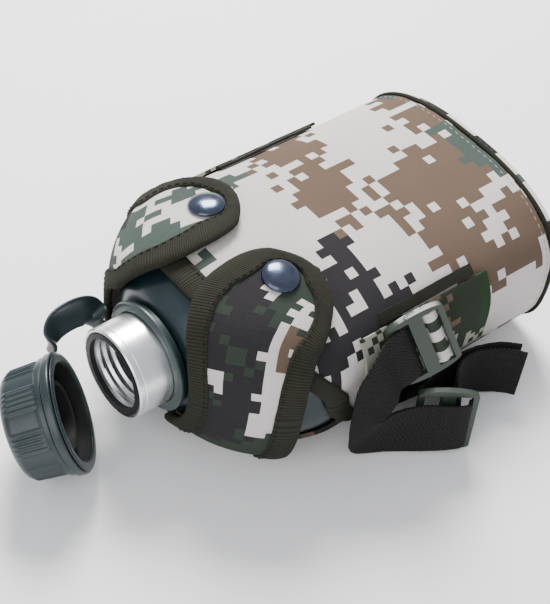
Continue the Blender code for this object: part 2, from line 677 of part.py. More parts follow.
def main():
    camouflage = material("camouflage_cloth", (0.55, 0.50, 0.44), 0.9)
    tape = material("binding_tape", (0.12, 0.13, 0.10), 0.9)
    webbing = material("strap_webbing", (0.06, 0.065, 0.06), 0.9)
    painted = material("painted_aluminium", (0.02, 0.05, 0.06), 0.4)
    bare = material("bare_aluminium", (0.80, 0.81, 0.82), 0.3, 1.0)
    green = material("green_plastic", (0.05, 0.10, 0.10), 0.4)
    black = material("black_rubber", (0.01, 0.01, 0.01), 0.5)
    olive = material("buckle_plastic", (0.07, 0.11, 0.07), 0.45)
    finishes = {"snap": material("snap_lacquer", (0.10, 0.12, 0.19), 0.25, 0.8),
                "steel": material("snap_steel", (0.45, 0.45, 0.46), 0.35, 1.0)}

    neck_axis = empty("neck_axis", ROOT.matrix_world @ axis_frame((0, 0, AXIS_Z), (-1, 0, 0),
                                                                  (0, 0, 1)), ROOT)
    bend = smooth_route(BAND_ROUTE, 4 * (len(BAND_ROUTE) - 1) + 1)[4 * BAND_BEND]
    band_bend = empty("band_bend", ROOT.matrix_world @ axis_frame(bend, BAND_WIDTH_AXIS,
                                                                  (1, 0, 0)), neck_axis)
    cap_axis = empty("cap_axis", ROOT.matrix_world @ axis_frame(CAP_CENTRE, CAP_AXIS, (0, 0, 1)),
                     band_bend)

    flask_body(ROOT, painted)
    threaded_neck(neck_axis, bare)
    mouth_gasket(neck_axis, black)
    tether_collar(neck_axis, green)
    band_half("tether_band_root", True, green, neck_axis)
    band_half("tether_band_end", False, green, band_bend)
    cap_ring(cap_axis, green)
    cap_shell(cap_axis, green)
    cap_plug(cap_axis, black)
    cap_gasket(cap_axis, black)

    front = np.linspace(180 - SEAM_ANGLE, SEAM_ANGLE, 23)
    back = np.linspace(SEAM_ANGLE + 1.2, 538.8 - SEAM_ANGLE, 21)
    cover_panel("cover_front", front, lambda angle: x_station(mouth_x(angle), COVER_OUT),
                camouflage, ROOT)
    cover_panel("cover_back", back, back_edge_station, camouflage, ROOT)
    edge_binding("front_mouth_binding", front,
                 lambda angle: x_station(mouth_x(angle), COVER_OUT), tape, ROOT)
    edge_binding("back_mouth_binding", back[7:14], back_edge_station, tape, ROOT)
    base_panel(ROOT, camouflage)
    base_piping(ROOT, tape)

    for word, side, hinge_line in (("near", 1, NEAR_HINGE), ("far", -1, FAR_HINGE)):
        hinge = empty(f"{word}_flap_hinge",
                      ROOT.matrix_world @ axis_frame(*hinge_line, (0, 0, 1)), ROOT)
        flap_panel(f"{word}_flap", side, camouflage, hinge)
        flap_root(f"{word}_flap_root", side, camouflage)
        flap_binding(f"{word}_flap_binding", side, tape, hinge)
        snap_parts(word, side, hinge, finishes)
        side_patch(f"{word}_side_loop", side, LOOP_X, LOOP_ANGLES, 4.4, 1.3, camouflage)
        side_patch(f"{word}_loop_trim", side, TRIM_X, TRIM_ANGLES, 4.0, 1.0, tape)
    buckle("near_buckle", buckle_frame(*NEAR_BUCKLE), olive)
    buckle("far_buckle", buckle_frame(*FAR_BUCKLE), olive)
    buckle("strap_adjuster", buckle_frame(*ADJUSTER), olive)
    strap(webbing)
    strap_hank(webbing)


main()
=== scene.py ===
"""Looks of the canteen: sewn cover, webbing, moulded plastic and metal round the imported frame."""
import math

import bmesh
import bpy
import numpy as np
from mathutils import Matrix, Vector, noise

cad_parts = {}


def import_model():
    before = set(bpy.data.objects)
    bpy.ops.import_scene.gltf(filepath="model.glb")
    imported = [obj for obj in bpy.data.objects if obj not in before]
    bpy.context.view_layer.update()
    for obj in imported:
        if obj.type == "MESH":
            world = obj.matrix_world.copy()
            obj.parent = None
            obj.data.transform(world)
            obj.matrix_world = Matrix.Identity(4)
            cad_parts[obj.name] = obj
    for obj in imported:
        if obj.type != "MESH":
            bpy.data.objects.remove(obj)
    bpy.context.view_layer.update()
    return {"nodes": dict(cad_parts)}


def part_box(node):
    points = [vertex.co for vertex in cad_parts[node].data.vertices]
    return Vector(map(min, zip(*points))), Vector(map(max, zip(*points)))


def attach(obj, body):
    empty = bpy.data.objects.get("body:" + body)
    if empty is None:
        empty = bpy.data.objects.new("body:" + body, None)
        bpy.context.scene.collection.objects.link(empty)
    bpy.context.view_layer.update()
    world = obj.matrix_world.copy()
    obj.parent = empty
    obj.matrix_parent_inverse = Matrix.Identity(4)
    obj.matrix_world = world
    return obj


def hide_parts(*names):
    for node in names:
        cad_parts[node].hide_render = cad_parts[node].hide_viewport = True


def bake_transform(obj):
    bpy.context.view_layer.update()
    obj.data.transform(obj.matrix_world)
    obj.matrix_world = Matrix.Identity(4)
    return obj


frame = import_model()

# Sizes are in millimetres from the mouth plane, with Z from the table; MM turns them into metres.
MM = 0.001
NECK_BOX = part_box("threaded_neck")
MOUTH = Vector((NECK_BOX[0].x, (NECK_BOX[0].y + NECK_BOX[1].y) / 2, 0))
AXIS_Z = (NECK_BOX[0].z + NECK_BOX[1].z) / 2 / MM

NECK_R = 18.5
NECK_BORE_R = 15.4
THREAD_PITCH = 3.2
MOUTH_RECESS_R = 17.0
SHOULDER_START_X = 19.8
SHOULDER_START_R = 19.3
SHOULDER_END_SIDE = 64.0
SHOULDER_END_FRONT = 54.0
SIDE_ROUNDNESS = 1.55
FRONT_ROUNDNESS = 2.0
STATION_LENGTH = 45.0
FLASK_HALF_WIDTH = 55.4
FLASK_HALF_DEPTH = 32.9
FRONT_EXPONENT = 2.46
BACK_EXPONENT = 3.6
BACK_FLATTENING = 1.012
FLASK_END_X = 180.6
FLASK_ROUNDING = 6.0

COVER_OUT = 2.6
COVER_THICK = 1.6
FLAP_OUT = 4.9
FLAP_RISE = 2.2
FLAP_THICK = 1.6
BINDING_WIDTH = 9.0
BASE_SEAM_X = 178.2
BASE_END_X = 183.6
BASE_ROUNDING = 4.0
PIPING_R = 1.0
SEAM_ANGLE = 196.0

FLAP_INNER = [(0.16, 246), (0.155, 225), (0.15, 200), (0.155, 172), (0.18, 146), (0.27, 120),
              (0.41, 103), (0.54, 96.5), (0.66, 94.5), (0.80, 94), (0.94, 95.5), (1.06, 99.5),
              (1.145, 105), (1.18, 110.5)]
FLAP_OUTER = [(0.69, 219), (0.69, 205), (0.69, 190), (0.70, 176), (0.725, 162), (0.79, 148),
              (0.87, 140.5), (0.955, 134), (1.02, 130.5), (1.075, 127), (1.12, 123.5),
              (1.15, 120), (1.17, 116.5), (1.18, 110.5)]
TETHER_ROOM = 0.13
BACK_EDGE = [(196.5, 1.13), (205, 0.95), (219, 0.72), (246, 0.2), (258, 0.22), (270, 0.24)]
MOUTH_FRONT_X = 29.0
MOUTH_DROP = 41.0
MOUTH_POWER = 2.1
HINGE_HEIGHT = {1: 12.4, -1: 10.0}
SNAP_AT = (0.862, 108.3)
SNAP_CLEARANCE = 9.0

COLLAR_X = 14.8
COLLAR_R = 22.7
CAP_CENTRE = (-16.9, -0.5, 27.7)
CAP_AXIS = (0.793, -0.480, 0.375)
RING_R = 23.5
GROOVE_R = 20.6
SKIRT_R = 19.4
PLUG_R = 14.2
PLUG_BORE_R = 11.6
BAND_WIDTH_AXIS = (0.08, 0.38, 0.92)
BAND_ROUTE = [(14.9, 22.9, 31.6), (12.9, 26.0, 31.9), (12.0, 29.5, 34.4), (9.9, 31.2, 37.8),
              (3.5, 31.6, 39.3), (-4.6, 30.2, 39.4), (-9.7, 26.8, 37.6), (-10.7, 22.6, 34.6)]

WEB_WIDTH = 25.0
WEB_THICK = 1.4
NEAR_BUCKLE = ((97.2, -63.5, 53.0), (0.90, -0.23, 0.37), (0.27, -0.36, -0.89))
FAR_BUCKLE = ((97.2, 63.6, 26.5), (1.0, 0.0, 0.0), (0.0, 0.0, -1.0))
ADJUSTER = ((104.6, -77.0, 16.2), (0.80, -0.60, 0.0), (0.075, -0.20, -0.97))
CELL = 4.2


def world(point):
    """A place in millimetres from the mouth plane and the table, in the frame's metres."""
    return Vector((MOUTH.x + point[0] * MM, MOUTH.y + point[1] * MM, point[2] * MM))


# Camera, floor and light

def add_camera():
    right = Vector((0.76387, -0.63512, 0.11458))
    up = Vector((0.39725, 0.60264, 0.69211))
    back = right.cross(up).normalized()
    target = world((92.0, 0.0, 37.0))
    data = bpy.data.cameras.new("camera")
    data.sensor_width = 36.0
    data.lens = 87.65
    data.shift_x = -0.0429
    data.shift_y = -0.0422
    data.clip_start = 0.01
    made = bpy.data.objects.new("camera", data)
    turn = Matrix((right, up, back)).transposed().to_4x4()
    made.matrix_world = Matrix.Translation(target + back * 0.5938) @ turn
    bpy.context.scene.collection.objects.link(made)
    bpy.context.scene.camera = made


def add_light(name, place_at, size, watts, colour=(1, 1, 1)):
    data = bpy.data.lights.new(name, "AREA")
    data.size = size
    data.energy = watts
    data.color = colour
    made = bpy.data.objects.new(name, data)
    made.location = place_at
    aim = Vector((0, 0, 0.03)) - Vector(place_at)
    made.rotation_mode = "QUATERNION"
    made.rotation_quaternion = aim.to_track_quat("-Z", "Y")
    bpy.context.scene.collection.objects.link(made)


def add_studio():
    setting = bpy.data.worlds.new("studio")
    setting.use_nodes = True
    sky = setting.node_tree.nodes["Background"]
    sky.inputs["Color"].default_value = (0.93, 0.95, 1.0, 1)
    sky.inputs["Strength"].default_value = 0.85
    bpy.context.scene.world = setting
    add_light("key", (0.35, 0.55, 0.75), 0.4, 24.0, (1.0, 0.99, 0.97))
    add_light("fill", (-0.75, -0.35, 0.55), 0.8, 6.0)
    mesh = bpy.data.meshes.new("floor")
    shape = bmesh.new()
    bmesh.ops.create_grid(shape, x_segments=1, y_segments=1, size=4.0)
    shape.to_mesh(mesh)
    shape.free()
    floor = bpy.data.objects.new("floor", mesh)
    floor.location.z = -0.0002
    bpy.context.scene.collection.objects.link(floor)
    floor.data.materials.append(pale_floor())


# Shader arithmetic

class Value:
    """A socket of a material, used in ordinary arithmetic."""

    def __init__(self, kit, socket):
        self.kit = kit
        self.socket = socket

    def __add__(self, other):
        return self.kit.math("ADD", self, other)

    def __radd__(self, other):
        return self.kit.math("ADD", other, self)

    def __sub__(self, other):
        return self.kit.math("SUBTRACT", self, other)

    def __rsub__(self, other):
        return self.kit.math("SUBTRACT", other, self)

    def __mul__(self, other):
        return self.kit.math("MULTIPLY", self, other)

    def __rmul__(self, other):
        return self.kit.math("MULTIPLY", other, self)

    def __truediv__(self, other):
        return self.kit.math("DIVIDE", self, other)

    def __gt__(self, other):
        return self.kit.math("GREATER_THAN", self, other)

    def __lt__(self, other):
        return self.kit.math("LESS_THAN", self, other)


class Finish:
    """One material and the short ways of adding nodes to it."""

    def __init__(self, name, roughness=0.8, metallic=0.0, **constants):
        self.material = bpy.data.materials.new(name)
        self.material.use_nodes = True
        self.tree = self.material.node_tree
        self.shader = self.tree.nodes["Principled BSDF"]
        self.shader.inputs["Roughness"].default_value = roughness
        self.shader.inputs["Metallic"].default_value = metallic
        for label, value in constants.items():
            self.shader.inputs[label.replace("_", " ")].default_value = value

    def node(self, kind, settings=None, inputs=None, output=0):
        made = self.tree.nodes.new(kind)
        for label, value in (settings or {}).items():
            setattr(made, label, value)
        for label, value in (inputs or {}).items():
            self.join(value, made.inputs[label])
        return Value(self, made.outputs[output])

    def join(self, value, socket):
        if isinstance(value, Value):
            self.tree.links.new(value.socket, socket)
        elif hasattr(value, "__len__") and socket.type == "RGBA" and len(value) == 3:
            socket.default_value = (*value, 1.0)
        else:
            socket.default_value = value

    def math(self, operation, *values):
        return self.node("ShaderNodeMath", {"operation": operation}, dict(enumerate(values)))

    def vector(self, operation, *values, output=0):
        return self.node("ShaderNodeVectorMath", {"operation": operation},
                         dict(enumerate(values)), output)

    def mix(self, share, low, high):
        return self.node("ShaderNodeMix", {"data_type": "RGBA"}, {0: share, 6: low, 7: high}, 2)

    def noise(self, where, scale, detail=3.0, roughness=0.5):
        return self.node("ShaderNodeTexNoise", {"noise_dimensions": "3D"},
                         {"Vector": where, "Scale": scale, "Detail": detail,
                          "Roughness": roughness})

    def object_place(self):
        return self.node("ShaderNodeTexCoord", output=3)

    def pattern_place(self):
        return self.node("ShaderNodeUVMap", {"uv_map": "Pattern"})

    def split(self, where):
        made = self.tree.nodes.new("ShaderNodeSeparateXYZ")
        self.join(where, made.inputs[0])
        return Value(self, made.outputs[0]), Value(self, made.outputs[1])

    def colour(self, value):
        self.join(value, self.shader.inputs["Base Color"])

    def rough(self, value):
        self.join(value, self.shader.inputs["Roughness"])

    def bump(self, height, distance, strength=1.0):
        raised = self.node("ShaderNodeBump", {}, {"Strength": strength, "Distance": distance,
                                                  "Height": height})
        self.join(raised, self.shader.inputs["Normal"])


# Cloth finishes

GROUND = (0.74, 0.69, 0.67)
BROWN = (0.135, 0.090, 0.062)
CHARCOAL = (0.017, 0.015, 0.019)
GREY_GREEN = (0.060, 0.085, 0.072)
FLAP_GREEN = (0.026, 0.040, 0.028)


def camouflage(name, ground, layers, cell=CELL, weave=0.9):
    """Square-block camouflage. Each layer is (colour, patches, jitter, spread)."""
    kit = Finish(name, 0.95, 0.0, Specular_IOR_Level=0.2)
    place = kit.pattern_place()
    index = kit.vector("FLOOR", kit.vector("DIVIDE", place, (cell, cell, 1.0)))
    centre = kit.vector("MULTIPLY", kit.vector("ADD", index, (0.5, 0.5, 0.0)), (cell, cell, 1.0))
    tone = ground
    for number, (shade, patches, jitter, spread) in enumerate(layers):
        seed = kit.vector("ADD", index, (0.0, 0.0, 7.3 * number + 0.5))
        chance = kit.node("ShaderNodeTexWhiteNoise", {"noise_dimensions": "3D"}, {0: seed})
        field = kit.noise(kit.vector("ADD", centre, (0.0, 0.0, 61.0 * number)), 0.045, 1.0)
        total = (field - 0.5) * spread
        reach = None
        for x, y, radius_x, radius_y in patches:
            gap = kit.vector("MULTIPLY", kit.vector("SUBTRACT", centre, (x, y, 0.0)),
                             (1 / radius_x, 1 / radius_y, 0.0))
            near = 1.0 - kit.vector("LENGTH", gap, output=1)
            reach = near if reach is None else kit.math("MAXIMUM", reach, near)
        if reach is not None:
            total = total + reach
        else:
            total = total - 0.12
        mask = (total + (chance - 0.5) * jitter) > 0.0
        tone = kit.mix(mask, tone, shade)
    mottled = kit.noise(place, 0.06, 4.0)
    across, along = kit.split(place)
    thread = kit.math("SINE", (across + along * 0.62) * (2 * math.pi / weave))
    fine = kit.noise(place, 2.2, 2.0)
    knot = kit.math("SINE", (across - along * 1.6) * (2 * math.pi / (weave * 1.25)))
    # Random mottling, plus painted light and shade on the weave: the knots (thread * knot) are made
    # lighter and the hollows between them darker.
    mottle_and_weave_shade = 0.80 + mottled * 0.16 + thread * knot * 0.14 + fine * 0.22
    # Painted highlight: the tops of the weave's knots are mixed towards a pale grey, which shows
    # most on the dark patches.
    weave_highlight = kit.math("MAXIMUM", thread * knot, 0.0) * 0.16
    tone = kit.mix(weave_highlight, tone, (0.30, 0.29, 0.27))
    kit.colour(shade_by(kit, tone, mottle_and_weave_shade))
    kit.bump(thread * knot * 0.8 + fine * 0.9, 0.0003, 0.8)
    return kit.material


def shade_by(kit, tone, amount):
    """A colour made lighter or darker by a value."""
    made = kit.tree.nodes.new("ShaderNodeVectorMath")
    made.operation = "SCALE"
    kit.join(tone, made.inputs[0])
    kit.join(amount, made.inputs[3])
    return Value(kit, made.outputs[0])


def ribbed_tape():
    """Grosgrain binding: raised ribs across the tape, with painted highlights on their crowns and
    painted shade between them.
    """
    kit = Finish("binding_tape", 0.92, 0.0, Specular_IOR_Level=0.2)
    place = kit.pattern_place()
    along, across = kit.split(place)
    rib = kit.math("ABSOLUTE", kit.math("SINE", along * (math.pi / 0.9)))
    weft = kit.math("SINE", across * (2 * math.pi / 0.8)) * 0.5 + 0.5
    fine = kit.noise(place, 1.4, 3.0)
    # Painted light: the colour follows the rib height, so the rib crowns get a painted highlight
    # and the hollows between them painted shade.
    tone = kit.mix(rib * 0.75 + fine * 0.25, (0.006, 0.006, 0.004), (0.026, 0.026, 0.018))
    kit.colour(shade_by(kit, tone, 0.8 + kit.noise(place, 0.05, 3.0) * 0.45))
    kit.bump(rib + weft * 0.25 + fine * 0.5, 0.00024, 0.8)
    return kit.material


def herringbone(name, dark, light):
    """Webbing with chevrons along its length, in two threads."""
    kit = Finish(name, 0.9, 0.0, Specular_IOR_Level=0.25)
    place = kit.pattern_place()
    along, across = kit.split(place)
    slant = kit.math("PINGPONG", across + 50.0, 3.1)
    wave = kit.math("SINE", (along + slant * 1.25) * (2 * math.pi / 1.9))
    cross = kit.math("SINE", across * (2 * math.pi / 0.62))
    fine = kit.noise(place, 1.8, 3.0)
    tone = kit.mix(wave * 0.35 + fine * 0.5 + 0.2, dark, light)
    kit.colour(shade_by(kit, tone, 0.75 + kit.noise(place, 0.06, 3.0) * 0.5))
    kit.bump(wave * 0.6 + cross * 0.3 + fine * 0.5, 0.0003, 0.9)
    return kit.material


def sewing_thread(name, colour):
    kit = Finish(name, 0.8, 0.0, Specular_IOR_Level=0.2)
    twist = kit.noise(kit.object_place(), 2600.0, 1.0)
    kit.colour(kit.mix(twist, tuple(0.6 * part for part in colour), colour))
    return kit.material


# Hard finishes

def moulded(name, colour, roughness, speckle=0.25, grain=0.00005):
    """Moulded plastic with a fine matt grain and faint handling marks."""
    kit = Finish(name, roughness, 0.0, Specular_IOR_Level=0.45)
    place = kit.object_place()
    fine = kit.noise(place, 2400.0, 2.0)
    marks = kit.noise(place, 90.0, 4.0)
    lighter = tuple(part * (1 + speckle) + 0.004 for part in colour)
    kit.colour(kit.mix(marks * 0.7 + fine * 0.3, colour, lighter))
    kit.rough(marks * 0.16 + (roughness - 0.08))
    kit.bump(fine, grain, 0.5)
    return kit.material


def painted_metal():
    kit = Finish("painted_aluminium", 0.34, 0.35, Coat_Weight=0.3, Coat_Roughness=0.25)
    place = kit.object_place()
    peel = kit.noise(place, 900.0, 2.0)
    cloud = kit.noise(place, 40.0, 3.0)
    kit.colour(kit.mix(cloud, (0.005, 0.014, 0.018), (0.010, 0.026, 0.032)))
    kit.rough(cloud * 0.14 + 0.27)
    kit.bump(peel, 0.00006, 0.5)
    return kit.material


def bare_metal(name, colour, roughness):
    """Turned metal with fine rings round its axis and a few dull smudges."""
    kit = Finish(name, roughness, 1.0)
    place = kit.object_place()
    rings = kit.noise(kit.vector("MULTIPLY", place, (4000.0, 60.0, 60.0)), 1.0, 2.0)
    smudge = kit.noise(place, 70.0, 3.0)
    kit.colour(kit.mix(smudge, tuple(0.88 * part for part in colour), colour))
    kit.rough(rings * 0.14 + smudge * 0.12 + (roughness - 0.1))
    kit.bump(rings, 0.00003, 0.5)
    return kit.material


def lacquered_snap():
    kit = Finish("snap_lacquer", 0.22, 0.85, Coat_Weight=0.5, Coat_Roughness=0.12)
    place = kit.object_place()
    scuff = kit.noise(place, 320.0, 5.0)
    kit.colour(kit.mix(scuff, (0.022, 0.030, 0.058), (0.06, 0.075, 0.12)))
    kit.rough(scuff * 0.2 + 0.12)
    return kit.material


def pale_floor():
    kit = Finish("pale_floor", 0.6)
    kit.colour((0.86, 0.86, 0.86))
    return kit.material


# The body's shape

def rounded(share, power):
    return (1 - (1 - share) ** power) ** (1 / power)


def section_point(x, angle, offset, shrink=0.0):
    start = SHOULDER_START_X - offset
    side = min(max((x - start) / (SHOULDER_END_SIDE - start), 0), 1)
    front = min(max((x - start) / (SHOULDER_END_FRONT - start), 0), 1)
    deepen = rounded(front, FRONT_ROUNDNESS)
    width = SHOULDER_START_R - shrink
    width += (FLASK_HALF_WIDTH + offset - SHOULDER_START_R) * rounded(side, SIDE_ROUNDNESS)
    depth = SHOULDER_START_R - shrink
    depth += (FLASK_HALF_DEPTH + offset - SHOULDER_START_R) * deepen
    cosine = math.cos(math.radians(angle))
    sine = math.sin(math.radians(angle))
    power = 2 + ((FRONT_EXPONENT if sine > 0 else BACK_EXPONENT) - 2) * deepen
    y = math.copysign(width * abs(cosine) ** (2 / power), cosine)
    z = math.copysign(depth * abs(sine) ** (2 / power), sine)
    if sine < 0:
        flattening = 1 + (BACK_FLATTENING - 1) * min(1, max(0, (x - 40) / 14))
        z = max(z * flattening, -depth)
    return Vector((x, y, AXIS_Z + z))


def station_x(station, offset):
    start = SHOULDER_START_X - offset
    turn = min(max(station, 0), 1) * math.pi / 2
    reach = 1 - math.cos(turn) ** (2 / SIDE_ROUNDNESS)
    return start + (SHOULDER_END_SIDE - start) * reach + max(station - 1, 0) * STATION_LENGTH


def x_station(x, offset):
    start = SHOULDER_START_X - offset
    share = (x - start) / (SHOULDER_END_SIDE - start)
    if share >= 1:
        return 1 + (x - SHOULDER_END_SIDE) / STATION_LENGTH
    return math.acos((1 - share) ** (SIDE_ROUNDNESS / 2)) / (math.pi / 2)


def surface_point(station, angle, offset):
    return section_point(station_x(station, offset), angle, offset)


GIRTH_ANGLES = np.linspace(-90, 450, 541)
GIRTH_POINTS = np.array([section_point(120, angle, COVER_OUT) for angle in GIRTH_ANGLES])
GIRTH_STEPS = np.linalg.norm(np.diff(GIRTH_POINTS, axis=0), axis=1)
GIRTH = np.concatenate([[0], np.cumsum(GIRTH_STEPS)])
GIRTH -= np.interp(90, GIRTH_ANGLES, GIRTH)


def girth(angle):
    """Distance round the full body from the middle of its front."""
    return float(np.interp(angle, GIRTH_ANGLES, GIRTH))


def mouth_x(angle):
    return MOUTH_FRONT_X + MOUTH_DROP * (abs(angle - 90) / 106) ** MOUTH_POWER


def back_edge_x(angle):
    half_angle = angle if angle <= 270 else 540 - angle
    angles, stations = zip(*BACK_EDGE)
    return station_x(float(np.interp(half_angle, angles, stations)), COVER_OUT)


def smooth_route(points, count):
    """A Catmull-Rom curve through the points, sampled evenly between them."""
    points = np.asarray(points, dtype=float)
    padded = np.vstack([2 * points[0] - points[1], points, 2 * points[-1] - points[-2]])
    samples = []
    for place_on in np.linspace(0, len(points) - 1, count):
        left = min(int(place_on), len(points) - 2)
        part = place_on - left
        before, start, stop, after = padded[left:left + 4]
        samples.append(0.5 * (2 * start + (stop - before) * part
                              + (2 * before - 5 * start + 4 * stop - after) * part ** 2
                              + (3 * start - before - 3 * stop + after) * part ** 3))
    return np.array(samples)


# Making pieces

def link(name, shape, finish, body, nodes, smooth=True):
    """Turn a bmesh into a finished piece that rides on a body and stands for CAD nodes."""
    mesh = bpy.data.meshes.new(name)
    shape.to_mesh(mesh)
    shape.free()
    if smooth:
        mesh.shade_smooth()
        mesh.set_sharp_from_angle(angle=math.radians(40))
    made = bpy.data.objects.new(name, mesh)
    bpy.context.scene.collection.objects.link(made)
    mesh.materials.append(finish)
    if isinstance(body, str):
        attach(made, body)
    if nodes:
        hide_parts(*nodes)
    return made


def skin(columns, rows, place_at, pattern_at, thick=0.0, closed=False, caps=False):
    """A grid laid on place_at(u, v), with its pattern in millimetres; thick makes it a shell."""
    shape = bmesh.new()
    layer = shape.loops.layers.uv.new("Pattern")
    bmesh.ops.create_grid(shape, x_segments=columns, y_segments=rows, size=0.5)
    spots = {vertex: (min(max(vertex.co.x + 0.5, 0), 1), min(max(vertex.co.y + 0.5, 0), 1))
             for vertex in shape.verts}
    for face in shape.faces:
        for corner in face.loops:
            corner[layer].uv = pattern_at(*spots[corner.vert])
    for vertex, (u, v) in spots.items():
        vertex.co = world(place_at(u, v))
    if closed or caps:
        bmesh.ops.remove_doubles(shape, verts=shape.verts, dist=0.000002)
    if caps:
        bmesh.ops.holes_fill(shape, edges=shape.edges, sides=0)
    bmesh.ops.remove_doubles(shape, verts=shape.verts, dist=0.000001)
    if thick:
        bmesh.ops.recalc_face_normals(shape, faces=shape.faces)
        bmesh.ops.solidify(shape, geom=shape.faces, thickness=thick * MM)
    bmesh.ops.recalc_face_normals(shape, faces=shape.faces)
    return shape


def outward(shape, centre):
    """Turn an open skin's faces so that they look away from a point."""
    total = sum((face.calc_center_median() - centre).dot(face.normal) for face in shape.faces)
    if total < 0:
        bmesh.ops.reverse_faces(shape, faces=shape.faces)


def shell(columns, rows, surface, pattern_at, thick, closed=False):
    """A cloth layer: surface(u, v) gives its outer face, and thick sets the inner one back."""
    shape = skin(columns, rows, surface, pattern_at, 0, closed)
    outward(shape, world((100, 0, AXIS_Z)))
    shape.normal_update()
    made = bmesh.ops.extrude_face_region(shape, geom=shape.faces[:], use_keep_orig=True)
    inner = [item for item in made["geom"] if isinstance(item, bmesh.types.BMVert)]
    normals = {vertex: vertex.normal.copy() for vertex in inner}
    for vertex in inner:
        vertex.co -= normals[vertex] * (thick * MM)
    bmesh.ops.recalc_face_normals(shape, faces=shape.faces)
    return shape


def turned(profile, steps, matrix, closed=False):
    """A turned piece from (radius, height) points, spun round the matrix's Z."""
    shape = bmesh.new()
    points = [shape.verts.new((radius * MM, 0, height * MM)) for radius, height in profile]
    edges = [shape.edges.new(pair) for pair in zip(points, points[1:])]
    if closed:
        edges.append(shape.edges.new((points[-1], points[0])))
    bmesh.ops.spin(shape, geom=points + edges, axis=(0, 0, 1), cent=(0, 0, 0), steps=steps,
                   angle=math.tau, use_merge=True)
    bmesh.ops.remove_doubles(shape, verts=shape.verts, dist=0.000005)
    bmesh.ops.recalc_face_normals(shape, faces=shape.faces)
    if matrix is not None:
        bmesh.ops.transform(shape, matrix=matrix, verts=shape.verts)
    return shape


def axis_frame(location, z_axis, x_hint):
    z_dir = Vector(z_axis).normalized()
    x_dir = Vector(x_hint)
    x_dir = (x_dir - x_dir.dot(z_dir) * z_dir).normalized()
    turn = Matrix((x_dir, z_dir.cross(x_dir), z_dir)).transposed().to_4x4()
    return Matrix.Translation(world(location)) @ turn


def rounded_profile(profile, radius=0.35, steps=3, closed=False):
    """The profile with its corners rounded, so that turned edges catch the light."""
    count = len(profile)
    made = []
    for number, corner in enumerate(profile):
        if not closed and number in (0, count - 1):
            made.append(corner)
            continue
        before = np.subtract(profile[number - 1], corner)
        after = np.subtract(profile[(number + 1) % count], corner)
        cut = min(radius, 0.45 * np.linalg.norm(before), 0.45 * np.linalg.norm(after))
        start = np.array(corner) + before / np.linalg.norm(before) * cut
        stop = np.array(corner) + after / np.linalg.norm(after) * cut
        for part in np.linspace(0, 1, steps):
            point = start * (1 - part) ** 2 + 2 * part * (1 - part) * np.array(corner)
            made.append(tuple(point + stop * part ** 2))
    return made


# Cover

def ripple(point, size, amount):
    """A small smooth unevenness, the same in every run."""
    return amount * noise.noise(Vector(point) / size)


def cover_surface(x, angle, offset=COVER_OUT):
    """The cover's outer face, with soft puckers along its seams and dents between them."""
    base = section_point(x, angle, offset)
    seam = math.exp(-((x - BASE_SEAM_X) / 12) ** 2)
    lift = ripple((x, base.y, base.z), 26, 0.5) + ripple((x * 0.4, base.y, base.z), 7, 0.35) * seam
    away = Vector((0, base.y, (base.z - AXIS_Z) * 1.5)).normalized()
    inset = 0.25 if base.z > 6 else 0.0
    return base + away * (lift - 0.25) * inset / 0.25


def cover_panel(name, angles, edge_x, finish, node):
    end = BASE_SEAM_X - PIPING_R - 0.3

    def surface(u, v):
        angle = angles[0] + (angles[1] - angles[0]) * v
        edge = x_station(edge_x(angle), COVER_OUT)
        last = x_station(end, COVER_OUT)
        x = station_x(edge + (last - edge) * u, COVER_OUT)
        return cover_surface(x, angle)

    def pattern(u, v):
        angle = angles[0] + (angles[1] - angles[0]) * v
        point = surface(u, v)
        return (point.x, girth(angle))

    shape = shell(150, 150, surface, pattern, COVER_THICK)
    return link(name, shape, finish, "canteen", [node])


def base_rows(end_x, rounding, start_x):
    """Rings (x, shrink) from the seam round the corner and in to the middle of the end."""
    rows = [(start_x, 0.0)]
    for turn in np.linspace(0, math.pi / 2, 8):
        rows.append((end_x - rounding * (1 - math.sin(turn)), rounding * (1 - math.cos(turn))))
    return rows


def base_panel(finish):
    rows = base_rows(BASE_END_X, BASE_ROUNDING, BASE_SEAM_X + PIPING_R + 0.3)
    inner = 10

    def surface(u, v):
        angle = 360 * v
        spot = u * (len(rows) - 1 + inner)
        if spot <= len(rows) - 1:
            left = min(int(spot), len(rows) - 2)
            part = spot - left
            x = rows[left][0] * (1 - part) + rows[left + 1][0] * part
            shrink = rows[left][1] * (1 - part) + rows[left + 1][1] * part
            return section_point(x, angle, COVER_OUT, shrink)
        share = 1 - (spot - len(rows) + 1) / inner
        rim = section_point(BASE_END_X, angle, COVER_OUT, BASE_ROUNDING)
        return Vector((BASE_END_X + 0.12 * (1 - share), rim.y * share,
                       AXIS_Z + (rim.z - AXIS_Z) * share))

    def pattern(u, v):
        point = surface(u, v)
        return (point.y + 300, point.z)

    shape = shell(len(rows) - 1 + inner, 160, surface, pattern, COVER_THICK, closed=True)
    return link("base_cloth", shape, finish, "canteen", ["base_panel"])


def base_piping(finish):
    """A corded seam round the base, as a round tube with its pattern along it."""
    def place_at(u, v):
        angle = 360 * u
        centre = section_point(BASE_SEAM_X, angle, COVER_OUT)
        away = Vector((0, centre.y, (centre.z - AXIS_Z) * 1.6)).normalized()
        turn = math.tau * v
        return centre + (away * math.cos(turn) + Vector((math.sin(turn), 0, 0))) * PIPING_R

    shape = skin(360, 10, place_at, lambda u, v: (u * 330, v * 6), 0, closed=True)
    return link("base_piping_cord", shape, finish, "canteen", ["base_piping"])


# Edge tape

TAPE_WRAP = [(9.0, 0.2), (8.8, 0.75), (7.9, 1.0), (6.2, 1.15), (4.2, 1.3), (2.4, 1.35),
             (0.9, 1.15), (-0.3, 0.65), (-0.9, -0.25), (-0.9, -1.05), (-0.3, -1.8),
             (0.9, -2.15), (3.0, -2.2), (5.0, -2.1), (5.2, -1.0)]


